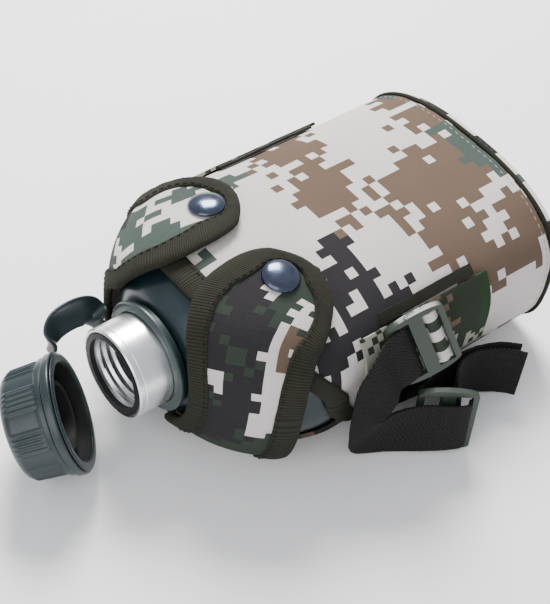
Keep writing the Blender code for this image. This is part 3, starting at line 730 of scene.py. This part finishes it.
def wrapped_tape(name, count, spot_at, finish, nodes, body, length):
    """Tape folded over an edge. spot_at(t, inward, height) places its cross-section."""
    section = smooth_route(TAPE_WRAP + [TAPE_WRAP[0]], 29)
    around = np.concatenate([[0], np.cumsum(np.linalg.norm(np.diff(section, axis=0), axis=1))])

    def place_at(u, v):
        inward, height = section[round(v * 28)]
        return spot_at(u, inward, height)

    shape = skin(count, 28, place_at, lambda u, v: (u * length, around[round(v * 28)]), 0,
                 closed=True, caps=True)
    return link(name, shape, finish, body, nodes)


def mouth_tape(name, angles, edge_x, finish, node):
    def spot_at(t, inward, height):
        angle = angles[0] + (angles[1] - angles[0]) * t
        x = edge_x(angle) + inward
        pucker = 0.25 * noise.noise(Vector((angle * 0.35, inward * 0.2, 3.0)))
        return surface_point(x_station(x, COVER_OUT), angle, COVER_OUT + height + pucker)

    length = abs(girth(angles[1]) - girth(angles[0]))
    return wrapped_tape(name, 220, spot_at, finish, [node], "canteen", length)


# Flaps

def flap_offset(station):
    share = min(max((station - 0.15) / 0.45, 0), 1)
    return FLAP_OUT + FLAP_RISE * share * share * (3 - 2 * share)


def flap_point(spot, side, extra=0.0):
    station, angle = spot
    if side < 0:
        station += TETHER_ROOM * min(max((angle - 142) / 30, 0), 1)
    point = surface_point(station, angle, flap_offset(station) + extra)
    return Vector((point.x, side * point.y, point.z))


INNER_EDGE = smooth_route(FLAP_INNER, 131)
OUTER_EDGE = smooth_route(FLAP_OUTER, 131)


def edge_at(table, share):
    spot = min(max(share, 0), 1) * (len(table) - 1)
    left = min(int(spot), len(table) - 2)
    return table[left] * (1 - spot + left) + table[left + 1] * (spot - left)


def blend_flap(piece, side):
    height = HINGE_HEIGHT[side]
    hinge_x, hinge_y = ((14.0, -21.9), (18.1, 28.9))[side < 0]
    world((hinge_x, hinge_y, height - 3))
    world((hinge_x, hinge_y, height + 3.5))
    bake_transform(piece)


def flap_cloth(word, side, finish):
    def surface(u, v):
        spot = edge_at(INNER_EDGE, u) * (1 - v) + edge_at(OUTER_EDGE, u) * v
        soft = 0.35 * noise.noise(Vector((u * 9, v * 3, side * 5.0)))
        return flap_point(spot, side, soft - 0.1)

    middle = [flap_point((edge_at(INNER_EDGE, u) + edge_at(OUTER_EDGE, u)) / 2, 1)
              for u in np.linspace(0, 1, 100)]
    steps = [(after - before).length for before, after in zip(middle, middle[1:])]
    along = np.concatenate([[0], np.cumsum(steps)])

    def pattern(u, v):
        near, far = edge_at(INNER_EDGE, u), edge_at(OUTER_EDGE, u)
        width = (flap_point(near, 1) - flap_point(far, 1)).length
        return (along[-1] - float(np.interp(u, np.linspace(0, 1, 100), along)),
                (v - 0.5) * width)

    shape = shell(150, 40, surface, pattern, FLAP_THICK - 0.2)
    piece = link(f"{word}_flap_cloth", shape, finish, None,
                 [f"{word}_flap", f"{word}_flap_root"])
    blend_flap(piece, side)
    return piece


def flap_edge_paths():
    """The flap's edge from root to tip and back, with the point that each place looks in to."""
    centre = np.array(SNAP_AT)
    edge, target = [], []
    for share in np.linspace(0, 1, 110):
        near = edge_at(INNER_EDGE, share)
        edge.append(near)
        target.append(edge_at(OUTER_EDGE, share) if near[0] < centre[0] else centre)
    for share in np.linspace(1, 0, 110)[1:]:
        near = edge_at(OUTER_EDGE, share)
        edge.append(near)
        target.append(edge_at(INNER_EDGE, share) if near[0] < centre[0] else centre)
    return np.array(edge), np.array(target)


EDGE_PATH, EDGE_TARGET = flap_edge_paths()


def smooth_targets():
    """Inward steps of one millimetre at each place on the flap's edge, evened out."""
    steps = []
    for near, target in zip(EDGE_PATH, EDGE_TARGET):
        span = (flap_point(near, 1) - flap_point(target, 1)).length
        steps.append((target - near) / span)
    steps = np.array(steps)
    kernel = np.ones(9) / 9
    padded = np.vstack([steps[:1]] * 4 + [steps] + [steps[-1:]] * 4)
    return np.stack([np.convolve(padded[:, axis], kernel, "valid") for axis in (0, 1)], axis=1)


INWARD_STEP = smooth_targets()


def room_inward(number):
    """How far in the tape may reach before it meets the snap."""
    near = EDGE_PATH[number]
    snap = flap_point(SNAP_AT, 1)
    for width in np.arange(BINDING_WIDTH, 3, -0.25):
        if (flap_point(near + INWARD_STEP[number] * width, 1) - snap).length > SNAP_CLEARANCE:
            return width / BINDING_WIDTH
    return 0.4


EDGE_ROOM = np.convolve(np.pad([room_inward(number) for number in range(len(EDGE_PATH))], 3,
                               mode="edge"), np.ones(7) / 7, "valid")


def flap_edge_spot(t, inward, height, side):
    place_on = t * (len(EDGE_PATH) - 1)
    left = min(int(place_on), len(EDGE_PATH) - 2)
    part = place_on - left
    near = EDGE_PATH[left] * (1 - part) + EDGE_PATH[left + 1] * part
    step = INWARD_STEP[left] * (1 - part) + INWARD_STEP[left + 1] * part
    room = EDGE_ROOM[left] * (1 - part) + EDGE_ROOM[left + 1] * part
    reach = inward * room if inward > 0 else inward
    spot = near + step * reach
    spot[0] = max(spot[0], 0.02)
    return flap_point(spot, side, height)


def flap_tape(word, side, finish):
    length = sum((flap_point(after, 1) - flap_point(before, 1)).length
                 for before, after in zip(EDGE_PATH, EDGE_PATH[1:]))

    def spot_at(t, inward, height):
        pucker = 0.18 * noise.noise(Vector((t * 46, inward * 0.25, side * 3.0)))
        return flap_edge_spot(t, inward, height + (pucker if height > 0 else 0), side)

    piece = wrapped_tape(f"{word}_flap_tape", 320, spot_at, finish, [f"{word}_flap_binding"],
                         None, length)
    blend_flap(piece, side)
    return piece


# Stitching

def stitches(name, points, finish, body, length=2.3, radius=0.26, gap=0.9):
    """A row of thread stitches that follows the points, each a small rounded bar."""
    points = np.array([tuple(point) for point in points])
    steps = np.linalg.norm(np.diff(points, axis=0), axis=1)
    along = np.concatenate([[0], np.cumsum(steps)])
    shape = bmesh.new()
    for start in np.arange(0.5, along[-1] - length, length + gap):
        ends = [Vector([np.interp(at, along, points[:, axis]) for axis in range(3)])
                for at in (start, start + length)]
        ahead = (ends[1] - ends[0]).normalized()
        turn = ahead.to_track_quat("X", "Z").to_matrix().to_4x4()
        size = Matrix.Diagonal((length * MM / 2, radius * MM, radius * MM, 1))
        place = Matrix.Translation(world((ends[0] + ends[1]) / 2))
        bmesh.ops.create_icosphere(shape, subdivisions=1, radius=1.0, matrix=place @ turn @ size)
    return link(name, shape, finish, body, [])


def all_stitches(dark, pale):
    for word, side in (("near", 1), ("far", -1)):
        points = [flap_edge_spot(t, 7.9, 1.2, side) for t in np.linspace(0.0, 1.0, 300)]
        piece = stitches(f"{word}_flap_stitches", points, dark, None)
        blend_flap(piece, side)
    points = []
    for angle in np.linspace(180 - SEAM_ANGLE, SEAM_ANGLE, 200):
        station = x_station(mouth_x(angle) + 7.9, COVER_OUT)
        points.append(surface_point(station, angle, COVER_OUT + 1.15))
    stitches("front_mouth_stitches", points, dark, "canteen")
    points = [cover_surface(BASE_SEAM_X - 3.4, angle, COVER_OUT + 0.05)
              for angle in np.linspace(0, 360, 300)]
    stitches("base_seam_stitches", points, pale, "canteen", 2.2, 0.2, 1.2)


# Flask, neck, tether and cap

def flask(finish):
    rows = [(station_x(station, 0), 0.0) for station in np.linspace(0, 1, 26)]
    rows += [(80, 0.0), (120, 0.0), (FLASK_END_X - FLASK_ROUNDING, 0.0)]
    for turn in np.linspace(0, math.pi / 2, 8)[1:]:
        rows.append((FLASK_END_X - FLASK_ROUNDING * (1 - math.sin(turn)),
                     FLASK_ROUNDING * (1 - math.cos(turn))))
    count = len(rows)

    def place_at(u, v):
        number = round(u * (count - 1 + 6))
        if number < count:
            x, shrink = rows[number]
            return section_point(x, 360 * v, 0, shrink)
        share = 1 - (number - count + 1) / 6
        rim = section_point(FLASK_END_X, 360 * v, 0, FLASK_ROUNDING)
        return Vector((rim.x, rim.y * share, AXIS_Z + (rim.z - AXIS_Z) * share))

    shape = skin(count - 1 + 6, 120, place_at, lambda u, v: (u * 180, v * 300), 0, closed=True)
    outward(shape, world((100, 0, AXIS_Z)))
    made = bmesh.ops.extrude_face_region(shape, geom=shape.faces[:], use_keep_orig=True)
    shape.normal_update()
    inner = [item for item in made["geom"] if isinstance(item, bmesh.types.BMVert)]
    normals = {vertex: vertex.normal.copy() for vertex in inner}
    for vertex in inner:
        vertex.co -= normals[vertex] * 1.2 * MM
    bmesh.ops.recalc_face_normals(shape, faces=shape.faces)
    return link("flask_shell", shape, finish, "canteen", ["flask_body"])


def neck(finish):
    """The neck with a real helical thread cut inside it."""
    neck_axis = axis_frame((0, 0, AXIS_Z), (-1, 0, 0), (0, 0, 1))
    profile = [(MOUTH_RECESS_R, -0.2), (MOUTH_RECESS_R + 0.3, 0), (NECK_R - 0.5, 0),
               (NECK_R, -0.5), (NECK_R, -2.2), (NECK_R - 0.3, -2.45), (NECK_R - 0.3, -2.8),
               (NECK_R, -3.05), (NECK_R, -22.0), (NECK_BORE_R, -22.0)]
    profile += [(NECK_BORE_R, depth) for depth in np.arange(-21.6, -2.6, 0.4)]
    profile += [(NECK_BORE_R, -2.3), (MOUTH_RECESS_R, -2.2)]
    shape = turned(profile, 120, None, closed=True)
    for vertex in shape.verts:
        radius = math.hypot(vertex.co.x, vertex.co.y) / MM
        height = vertex.co.z / MM
        if radius < NECK_BORE_R + 0.2 and -20.5 < height < -3.4:
            turn = math.atan2(vertex.co.y, vertex.co.x) / math.tau
            wave = math.cos(math.tau * (height / THREAD_PITCH + turn))
            fade = min(1, (height + 20.5) / 2, (-3.4 - height) / 1.2)
            shrink = (NECK_BORE_R - 0.9 * max(0, wave * 0.5 + 0.5) * fade) / NECK_BORE_R
            vertex.co.x *= shrink
            vertex.co.y *= shrink
    bmesh.ops.transform(shape, matrix=neck_axis, verts=shape.verts)
    return link("turned_neck", shape, finish, "canteen", ["threaded_neck"])


def collar(finish):
    neck_axis = axis_frame((COLLAR_X, 0, AXIS_Z), (-1, 0, 0), (0, 0, 1))
    bore = NECK_R + 0.3
    profile = rounded_profile([(bore, 0), (COLLAR_R - 0.9, 0), (COLLAR_R, -0.7),
                               (COLLAR_R, -1.9), (COLLAR_R - 1.6, -2.3), (COLLAR_R - 1.6, -4.2),
                               (bore, -4.2)], 0.3, 3, closed=True)
    shape = turned(profile, 120, neck_axis, closed=True)
    return link("swivel_collar", shape, finish, "collar", ["tether_collar"])


def tether_band(finish):
    """The flexible band from the collar to the cap's ring, in one piece."""
    count = 57
    route = smooth_route(BAND_ROUTE, count)
    ahead = np.gradient(route, axis=0)
    ahead /= np.linalg.norm(ahead, axis=1)[:, None]
    across = np.tile(np.array(BAND_WIDTH_AXIS), (count, 1))
    across -= np.sum(across * ahead, axis=1)[:, None] * ahead
    across /= np.linalg.norm(across, axis=1)[:, None]
    normal = np.cross(ahead, across)
    widths = np.interp(np.arange(count), [0, 10, 16, 48, 56], [6.0, 6.5, 12.5, 12.5, 6.5])
    section = [(math.copysign(abs(math.cos(turn)) ** 0.45, math.cos(turn)),
                math.copysign(abs(math.sin(turn)) ** 0.6, math.sin(turn)))
               for turn in np.linspace(0, math.tau, 21)]

    def place_at(u, v):
        at = round(u * (count - 1))
        wide, high = section[round(v * 20)]
        return Vector(route[at] + across[at] * wide * widths[at] / 2 + normal[at] * high * 0.9)

    shape = skin(count - 1, 20, place_at, lambda u, v: (u * 50, v * 25), 0, closed=True,
                 caps=True)
    piece = link("tether_band", shape, finish, None,
                 ["tether_band_root", "tether_band_end"])
    bend = 8 * 2
    world(route[bend - 7])
    world(route[bend + 7])
    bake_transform(piece)
    return piece


def grip_ribs(turn):
    """Height of the grip's ribs: eight groups of five with smooth skin between them."""
    group = (turn * 8) % 1.0
    if group > 0.62:
        return 0.0
    return max(0.0, math.sin(group / 0.62 * 5 * math.pi * 2 - math.pi / 2) * 0.5 + 0.5)


def cap(green, black):
    frame_in = axis_frame(CAP_CENTRE, CAP_AXIS, (0, 0, 1))
    profile = rounded_profile([(0, -18.4), (SKIRT_R, -18.4), (SKIRT_R, -0.3), (19.8, 0),
                               (22.1, 0), (22.6, -0.4), (22.5, -0.7), (GROOVE_R, -0.7),
                               (GROOVE_R, -4.6), (22.6, -4.6), (22.6, -6.4)], 0.25, 3)
    profile += [(21.9, -6.9)]
    profile += [(21.7 - 0.063 * step, -7.6 - step) for step in np.linspace(0, 11.5, 14)]
    profile += [(20.3, -20.3), (19.6, -21.2), (18.2, -21.9), (16.0, -22.2), (0, -22.2)]
    shape = turned(profile, 480, None)
    for vertex in shape.verts:
        height = vertex.co.z / MM
        radius = math.hypot(vertex.co.x, vertex.co.y) / MM
        if radius > 20 and -19.5 < height < -7.2:
            turn = math.atan2(vertex.co.y, vertex.co.x) / math.tau
            fade = min(1, (height + 19.5) / 0.8, (-7.2 - height) / 0.8)
            grow = 1 + (0.62 * grip_ribs(turn) * fade - 0.1) / radius
            vertex.co.x *= grow
            vertex.co.y *= grow
    bmesh.ops.transform(shape, matrix=frame_in, verts=shape.verts)
    link("screw_cap", shape, green, "cap", ["cap_shell"])

    bore = GROOVE_R + 0.3
    profile = rounded_profile([(bore, -1.0), (RING_R - 0.4, -1.0), (RING_R, -1.4),
                               (RING_R, -3.9), (RING_R - 0.4, -4.3), (bore, -4.3)], 0.4, 3,
                              closed=True)
    shape = turned(profile, 160, frame_in, closed=True)
    link("retaining_ring", shape, green, "cap_carrier", ["cap_ring"])

    profile = [(SKIRT_R - 0.02, -0.7), (SKIRT_R - 0.02, -16.3), (SKIRT_R - 0.4, -16.3),
               (SKIRT_R - 0.4, -1.0)]
    shape = turned(profile, 120, frame_in, closed=True)
    link("cap_liner", shape, black, "cap", [])

    profile = [(0, -13.6), (PLUG_BORE_R - 0.4, -13.6), (PLUG_BORE_R, -13.2),
               (PLUG_BORE_R, -4.3), (PLUG_BORE_R + 0.4, -4.0), (PLUG_R - 1.0, -4.0)]
    profile += [(PLUG_R - 0.8, depth) for depth in np.arange(-4.4, -16.2, -0.4)]
    profile += [(PLUG_R - 0.8, -16.4), (SKIRT_R - 0.3, -16.4), (SKIRT_R - 0.3, -18.1), (0, -18.1)]
    shape = turned(profile, 120, None)
    for vertex in shape.verts:
        radius = math.hypot(vertex.co.x, vertex.co.y) / MM
        height = vertex.co.z / MM
        if PLUG_R - 1.0 < radius < PLUG_R and -15 < height < -5:
            turn = math.atan2(vertex.co.y, vertex.co.x) / math.tau
            wave = math.cos(math.tau * (height / THREAD_PITCH + turn)) * 0.5 + 0.5
            fade = min(1, (height + 15) / 1.5, (-5 - height) / 1.0)
            grow = 1 + 0.8 * wave * fade / radius
            vertex.co.x *= grow
            vertex.co.y *= grow
    bmesh.ops.transform(shape, matrix=frame_in, verts=shape.verts)
    link("threaded_plug", shape, black, "cap", ["cap_plug"])


# Snaps

def snap_frame(side):
    station, angle = SNAP_AT
    centre = surface_point(station, angle, 0)
    along = surface_point(station + 0.02, angle, 0) - centre
    around = surface_point(station, angle + 2, 0) - centre
    flip = Vector((1, side, 1))
    return axis_frame(centre * flip, around.cross(along) * flip, along * flip)


def snap_domes(finish):
    top = FLAP_OUT + FLAP_RISE + 0.3
    for word, side in (("near", 1), ("far", -1)):
        profile = [(7.4 * math.sin(turn), top + 0.3 + 2.8 * math.cos(turn))
                   for turn in np.linspace(0, math.pi / 2, 16)]
        profile += [(7.3, top + 0.1), (7.0, top), (0, top)]
        shape = turned(profile, 64, snap_frame(side))
        link(f"{word}_snap_dome", shape, finish, f"{word}_flap",
             [f"{word}_snap_cap"])


# Side loops, buckles and strap

def side_patch(name, side, x_range, angle_range, out, thick, finish, node):
    def surface(u, v):
        x = x_range[0] + (x_range[1] - x_range[0]) * u
        angle = angle_range[0] + (angle_range[1] - angle_range[0]) * v
        lift = 0.25 * noise.noise(Vector((x * 0.12, angle * 0.1, side * 2.0)))
        point = section_point(x, angle, out + lift)
        return Vector((point.x, side * point.y, point.z))

    def pattern(u, v):
        return (x_range[0] + (x_range[1] - x_range[0]) * u,
                girth(angle_range[0] + (angle_range[1] - angle_range[0]) * v))

    shape = shell(60, 40, surface, pattern, thick)
    return link(name, shape, finish, "canteen", [node])


def buckle(name, place, finish, node):
    """A tri-glide with rounded edges and bowed rails."""
    centre, rail, bar = (Vector(part) for part in place)
    matrix = axis_frame(centre, rail.cross(bar), rail)
    half_length, round_over = 12.0, 0.7
    outline = [(half_length * math.cos(turn), math.copysign(13.0, math.sin(turn))
                + 2.5 * math.sin(turn)) for turn in np.linspace(0, math.tau, 64, endpoint=False)]
    outlines = [outline]
    for sign in (-1, 1):
        near, far, tall = sign * 2.8, sign * 9.6, 13.0
        outlines.append([(near, -tall), (far, -tall), (far, tall), (near, tall)])
    curve = bpy.data.curves.new(name, "CURVE")
    curve.dimensions = "2D"
    curve.fill_mode = "BOTH"
    curve.extrude = 1.4 * MM
    for points in outlines:
        spline = curve.splines.new("POLY")
        spline.points.add(len(points) - 1)
        for point, (x, y) in zip(spline.points, points):
            point.co = (x * MM, y * MM, 0, 1)
        spline.use_cyclic_u = True
    flat = bpy.data.objects.new(name + "_outline", curve)
    bpy.context.scene.collection.objects.link(flat)
    bpy.context.view_layer.update()
    shaped = flat.evaluated_get(bpy.context.evaluated_depsgraph_get())
    mesh = bpy.data.meshes.new_from_object(shaped)
    bpy.data.objects.remove(flat, do_unlink=True)
    shape = bmesh.new()
    shape.from_mesh(mesh)
    bmesh.ops.remove_doubles(shape, verts=shape.verts, dist=0.00001)
    bmesh.ops.recalc_face_normals(shape, faces=shape.faces)
    sharp = [edge for edge in shape.edges if edge.calc_face_angle(0) > math.radians(60)]
    bmesh.ops.bevel(shape, geom=sharp, offset=round_over * MM, affect="EDGES", segments=3,
                    profile=0.5, material=-1, clamp_overlap=True)
    bmesh.ops.transform(shape, matrix=matrix, verts=shape.verts)
    return link(name, shape, finish, "canteen", [node])


def buckle_hump(name, finish):
    """The sewn loop's webbing where it rises through the buckle's slot."""
    centre, rail, bar = (Vector(part) for part in NEAR_BUCKLE)
    outward_dir = bar.cross(rail)

    def surface(u, v):
        rise = 1.9 * math.sin(math.pi * u) ** 0.7 - 1.2 + 0.15 * math.sin(v * 40)
        return centre + rail * (3.0 + 6.4 * u) + bar * (24 * v - 12) + outward_dir * rise

    shape = shell(20, 50, surface, lambda u, v: (6.4 * u - 3.2, 24 * v - 12), 0.8)
    return link(name, shape, finish, "canteen", [])


def webbing(name, middle, across, finish, nodes, held="folded"):
    """A stretch of webbing along a route; its flat length is the length of that route."""
    count = len(middle)
    ahead = np.gradient(middle, axis=0)
    ahead /= np.linalg.norm(ahead, axis=1)[:, None]
    normal = np.cross(ahead, across)
    normal /= np.linalg.norm(normal, axis=1)[:, None]
    along = np.concatenate([[0], np.cumsum(np.linalg.norm(np.diff(middle, axis=0), axis=1))])
    section = [(math.copysign(abs(math.cos(turn)) ** 0.12, math.cos(turn)),
                math.copysign(abs(math.sin(turn)) ** 0.3, math.sin(turn)))
               for turn in np.linspace(0, math.tau, 33)]

    def place_at(u, v):
        at = round(u * (count - 1))
        wide, high = section[round(v * 32)]
        edge = 0.12 * noise.noise(Vector((along[at] * 0.4, wide * 3, 1.0)))
        return Vector(middle[at] + across[at] * wide / 2
                      + normal[at] * (high * WEB_THICK / 2 + edge))

    def pattern(u, v):
        wide = section[round(v * 32)][0]
        return (along[round(u * (count - 1))], wide * WEB_WIDTH / 2)

    shape = skin(count - 1, 32, place_at, pattern, 0, closed=True, caps=True)
    piece = link(name, shape, finish, "canteen", nodes)
    return piece


def loop_edges(count):
    """Both edges of the webbing from the near buckle's middle bar to the adjuster's slot."""
    centre, rail, bar = (np.array(part) for part in NEAR_BUCKLE)
    away = np.cross(bar, rail)
    inner, outer = [], []
    for reach, height in ((-3.6, -1.4), (-6.5, 1.2), (-10.5, 2.5)):
        spot = centre + rail * reach + away * height
        inner.append(tuple(spot + bar * 12.4))
        outer.append(tuple(spot - bar * 12.4))
    inner += [(86.5, -66.6, 35.6), (82.5, -69.4, 33.0), (77.0, -70.6, 30.6),
              (74.5, -70.4, 29.0), (76.0, -69.8, 27.6), (84.0, -69.4, 27.0),
              (95.5, -73.4, 26.8), (103.6, -80.0, 27.4), (107.4, -82.6, 27.6),
              (110.4, -83.4, 27.6), (112.3, -81.6, 27.4)]
    outer += [(79.6, -59.2, 58.2), (73.0, -61.7, 54.0), (66.0, -63.2, 45.0),
              (64.0, -64.6, 32.0), (65.5, -64.4, 18.0), (71.5, -62.6, 3.6),
              (84.0, -68.4, 1.4), (100.0, -79.4, 1.8), (107.4, -84.3, 2.8),
              (110.4, -85.0, 2.9), (112.3, -83.2, 2.9)]
    return smooth_route(inner, count), smooth_route(outer, count)


def routed(points, across, count):
    """A route and full-width directions, both smooth, with the width square to the route."""
    route = smooth_route(points, count)
    across = smooth_route(across, count)
    ahead = np.gradient(route, axis=0)
    ahead /= np.linalg.norm(ahead, axis=1)[:, None]
    across = across - np.sum(across * ahead, axis=1)[:, None] * ahead
    across /= np.linalg.norm(across, axis=1)[:, None]
    return route, across * WEB_WIDTH


def strap(dark, olive):
    inner, outer = loop_edges(200)
    webbing("strap_loop_web", (inner + outer) / 2, outer - inner, dark, ["strap_loop"])
    far = [(85.6, 64.9, 26.4), (84.0, 64.0, 26.0), (78.0, 63.9, 25.5), (73.5, 65.0, 24.5),
           (72.8, 67.3, 23.0), (76.0, 69.2, 21.0), (84.0, 70.0, 17.5), (92.0, 70.6, 14.5),
           (98.0, 71.0, 13.4)]
    webbing("strap_far_web", *routed(far, [(0, 0, -1)] * 9, 120), dark, ["strap_far_end"])
    ply = [(90.0, -60.9, 13.4), (82.0, -60.8, 13.4), (77.8, -60.9, 13.4), (76.0, -62.0, 13.4),
           (77.4, -63.2, 13.4), (81.0, -63.8, 13.4)]
    webbing("strap_ply_web", *routed(ply, [(0, 0, -1)] * 6, 60), olive, ["strap_loop_ply"])
    tail = [(109.4, -80.4, 16.0), (113.0, -75.4, 15.2), (118.0, -69.4, 14.2),
            (125.0, -65.2, 13.6), (133.5, -65.0, 13.4), (141.0, -68.6, 13.4),
            (146.5, -73.2, 13.4), (149.5, -77.2, 13.4)]
    turns = [(0.03, -0.17, -0.98)] + [(0, -0.08, -1)] * 7
    webbing("strap_tail_web", *routed(tail, turns, 120), dark, ["strap_tail"])
    back = [(151.0, -72.6, 13.4), (145.0, -67.0, 13.4), (137.0, -63.0, 13.4),
            (129.0, -61.3, 13.2), (122.0, -61.0, 12.6), (116.0, -59.8, 10.0),
            (112.6, -55.6, 5.4), (112.0, -47.0, 1.7), (112.0, -36.0, 0.95)]
    turns = [(0, -0.08, -1), (0, -0.04, -1), (0, 0, -1), (0, 0, -1), (0.2, 0, -1),
             (0.75, 0.1, -0.75), (0.97, 0.05, -0.25), (1, 0, -0.03), (1, 0, 0)]
    webbing("strap_return_web", *routed(back, turns, 140), dark, ["strap_return"])
    under = [(112.0, -35.6, 0.95), (112.0, 20.0, 0.95), (112.0, 66.0, 0.95),
             (112.0, 71.2, 1.1), (112.0, 73.4, 3.8), (112.0, 73.8, 9.0), (112.0, 73.8, 16.0)]
    webbing("strap_under_web", *routed(under, [(1, 0, 0)] * 7, 120), dark, ["strap_under_run"])
    webbing("strap_hank_web", *hank_route(), dark, ["strap_hank"])


def hank_route():
    """Spare strap folded to and fro in four plies, standing on its edge."""
    low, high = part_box("strap_hank")
    left, right = (low.x - MOUTH.x) / MM + 2.2, (high.x - MOUTH.x) / MM - 2.2
    front, back = (low.y - MOUTH.y) / MM + 0.95, (high.y - MOUTH.y) / MM - 0.95
    plies = 4
    step = (back - front) / (plies - 1)
    height = (low.z + high.z) / 2 / MM
    points = []
    for ply in range(plies):
        y = front + step * ply
        run = list(np.linspace(left, right, 24))
        if ply % 2:
            run = run[::-1]
        points += [(x, y, height) for x in run]
        if ply < plies - 1:
            end, sign = (right, 1) if ply % 2 == 0 else (left, -1)
            for turn in np.linspace(-math.pi / 2, math.pi / 2, 7)[1:-1]:
                points.append((end + sign * step / 2 * math.cos(turn),
                               y + step / 2 + step / 2 * math.sin(turn), height))
    route = np.array(points)
    return route, np.tile(np.array((0.0, 0.0, WEB_WIDTH)), (len(route), 1))


# The finishes and the pieces

add_camera()
add_studio()

tape = ribbed_tape()
dark_web = herringbone("strap_webbing", (0.003, 0.003, 0.003), (0.017, 0.017, 0.015))
olive_web = herringbone("strap_webbing_back", (0.006, 0.007, 0.004), (0.026, 0.028, 0.018))
dark_thread = sewing_thread("dark_thread", (0.010, 0.010, 0.008))
pale_thread = sewing_thread("pale_thread", (0.42, 0.40, 0.38))
green = moulded("green_plastic", (0.009, 0.018, 0.020), 0.32)
collar_green = moulded("collar_plastic", (0.022, 0.036, 0.035), 0.36)
buckle_green = moulded("buckle_plastic", (0.014, 0.024, 0.015), 0.36)
black = moulded("black_rubber", (0.008, 0.008, 0.009), 0.5)
painted = painted_metal()
aluminium = bare_metal("bare_aluminium", (0.86, 0.87, 0.88), 0.26)
steel = bare_metal("snap_steel", (0.55, 0.55, 0.56), 0.34)
lacquer = lacquered_snap()

body_brown = [(108, -38, 17, 13), (107, -8, 13, 20), (150, 12, 30, 18), (137, 34, 15, 16),
              (139, 56, 13, 14), (162, 58, 18, 6), (170, 42, 12, 14), (170, -22, 12, 9),
              (173, -40, 11, 8), (128, -82, 26, 9), (152, -76, 20, 8)]
body_charcoal = [(77, 35, 8, 10), (87, 22, 7, 7), (82, 52, 15, 12), (90, 37, 7, 5),
                 (62, 58, 9, 9), (99, 48, 8, 5)]
body_green = [(74, -35, 7, 9), (82, -37, 5, 4), (176, 10, 9, 13), (173, -10, 7, 5),
              (100, -83, 12, 8), (44, -4, 4, 4), (176, -52, 8, 8)]
front_cloth = camouflage("camouflage_cloth", GROUND,
                         [(BROWN, body_brown, 1.0, 0.6), (GREY_GREEN, body_green, 0.8, 0.3),
                          (CHARCOAL, body_charcoal, 0.95, 0.3)])
plain_cloth = camouflage("camouflage_cloth_back", GROUND,
                         [(BROWN, [], 0.16, 1.9), (GREY_GREEN, [], 0.12, 1.6),
                          (CHARCOAL, [], 0.12, 1.35)])
near_flap_cloth = camouflage("near_flap_cloth", FLAP_GREEN,
                             [(CHARCOAL, [(26, -7, 12, 7), (50, -12, 16, 9), (38, 4, 7, 6),
                                          (66, 2, 16, 9), (84, -8, 14, 12)], 0.85, 0.5),
                              (GROUND, [(26, 12, 11, 5), (42, 12, 9, 6), (60, 12, 16, 7),
                                        (78, 10, 9, 6), (18, -3, 4, 3), (58, -10, 4, 3)],
                               0.9, 0.3),
                              (BROWN, [(36, 14, 4, 4), (46, 13, 4, 4)], 0.3, 0.1)], 3.4)
far_flap_cloth = camouflage("far_flap_cloth", GROUND,
                            [(GREY_GREEN, [(34, -12, 12, 7), (50, 2, 14, 10), (24, 10, 8, 6),
                                           (66, -8, 14, 12), (10, 10, 6, 5)], 0.85, 0.5),
                             (CHARCOAL, [(60, 10, 10, 8)], 0.6, 0.2)], 3.8)
loop_cloth = camouflage("side_loop_cloth", (0.33, 0.33, 0.27),
                        [(BROWN, [(112, 58, 12, 10), (124, 70, 8, 10)], 1.1, 0.6),
                         ((0.018, 0.028, 0.015), [(128, 66, 12, 22), (100, 62, 18, 12)], 1.2,
                          0.8), ((0.012, 0.040, 0.011), [(138, 62, 3, 16)], 0.6, 0.4)], 2.8)
# The buckle hump is the side loop's cloth with a bright beige ground: partly the camouflage's own
# beige, partly painted light where the hump bulges up towards the lamp.
lit_hump_cloth = camouflage("buckle_hump_lit_cloth", GROUND,
                        [((0.030, 0.045, 0.028), [(0, -5, 5, 2.6), (0, 5, 5, 2.6)], 0.3, 0.1)],
                        2.6)

cover_panel("cover_front_cloth", (180 - SEAM_ANGLE, SEAM_ANGLE), mouth_x, front_cloth,
            "cover_front")
cover_panel("cover_back_cloth", (SEAM_ANGLE + 1.2, 538.8 - SEAM_ANGLE), back_edge_x, plain_cloth,
            "cover_back")
base_panel(plain_cloth)
base_piping(tape)
mouth_tape("front_mouth_tape", (180 - SEAM_ANGLE, SEAM_ANGLE), mouth_x, tape,
           "front_mouth_binding")
mouth_tape("back_mouth_tape", (240.0, 300.0), back_edge_x, tape, "back_mouth_binding")
for word, side, cloth in (("near", 1, near_flap_cloth), ("far", -1, far_flap_cloth)):
    flap_cloth(word, side, cloth)
    flap_tape(word, side, tape)
    side_patch(f"{word}_side_loop_cloth", side, (74.0, 140.0), (149.0, 186.0), 4.4, 1.3,
               loop_cloth, f"{word}_side_loop")
    side_patch(f"{word}_loop_trim_tape", side, (86.0, 134.0), (141.0, 147.6), 4.0, 1.0, tape,
               f"{word}_loop_trim")
buckle("near_tri_glide", NEAR_BUCKLE, buckle_green, "near_buckle")
buckle("far_tri_glide", FAR_BUCKLE, buckle_green, "far_buckle")
buckle("adjuster_tri_glide", ADJUSTER, buckle_green, "strap_adjuster")
buckle_hump("near_loop_hump", lit_hump_cloth)
all_stitches(dark_thread, pale_thread)
flask(painted)
neck(aluminium)
collar(collar_green)
tether_band(green)
cap(green, black)
snap_domes(lacquer)
strap(dark_web, olive_web)

for node, finish in (("mouth_gasket", black), ("cap_gasket", black),
                     ("near_snap_socket", steel), ("far_snap_socket", steel),
                     ("near_snap_stud", steel), ("far_snap_stud", steel),
                     ("near_snap_washer", steel), ("far_snap_washer", steel)):
    shown = frame["nodes"][node]
    shown.data.materials.clear()
    shown.data.materials.append(finish)
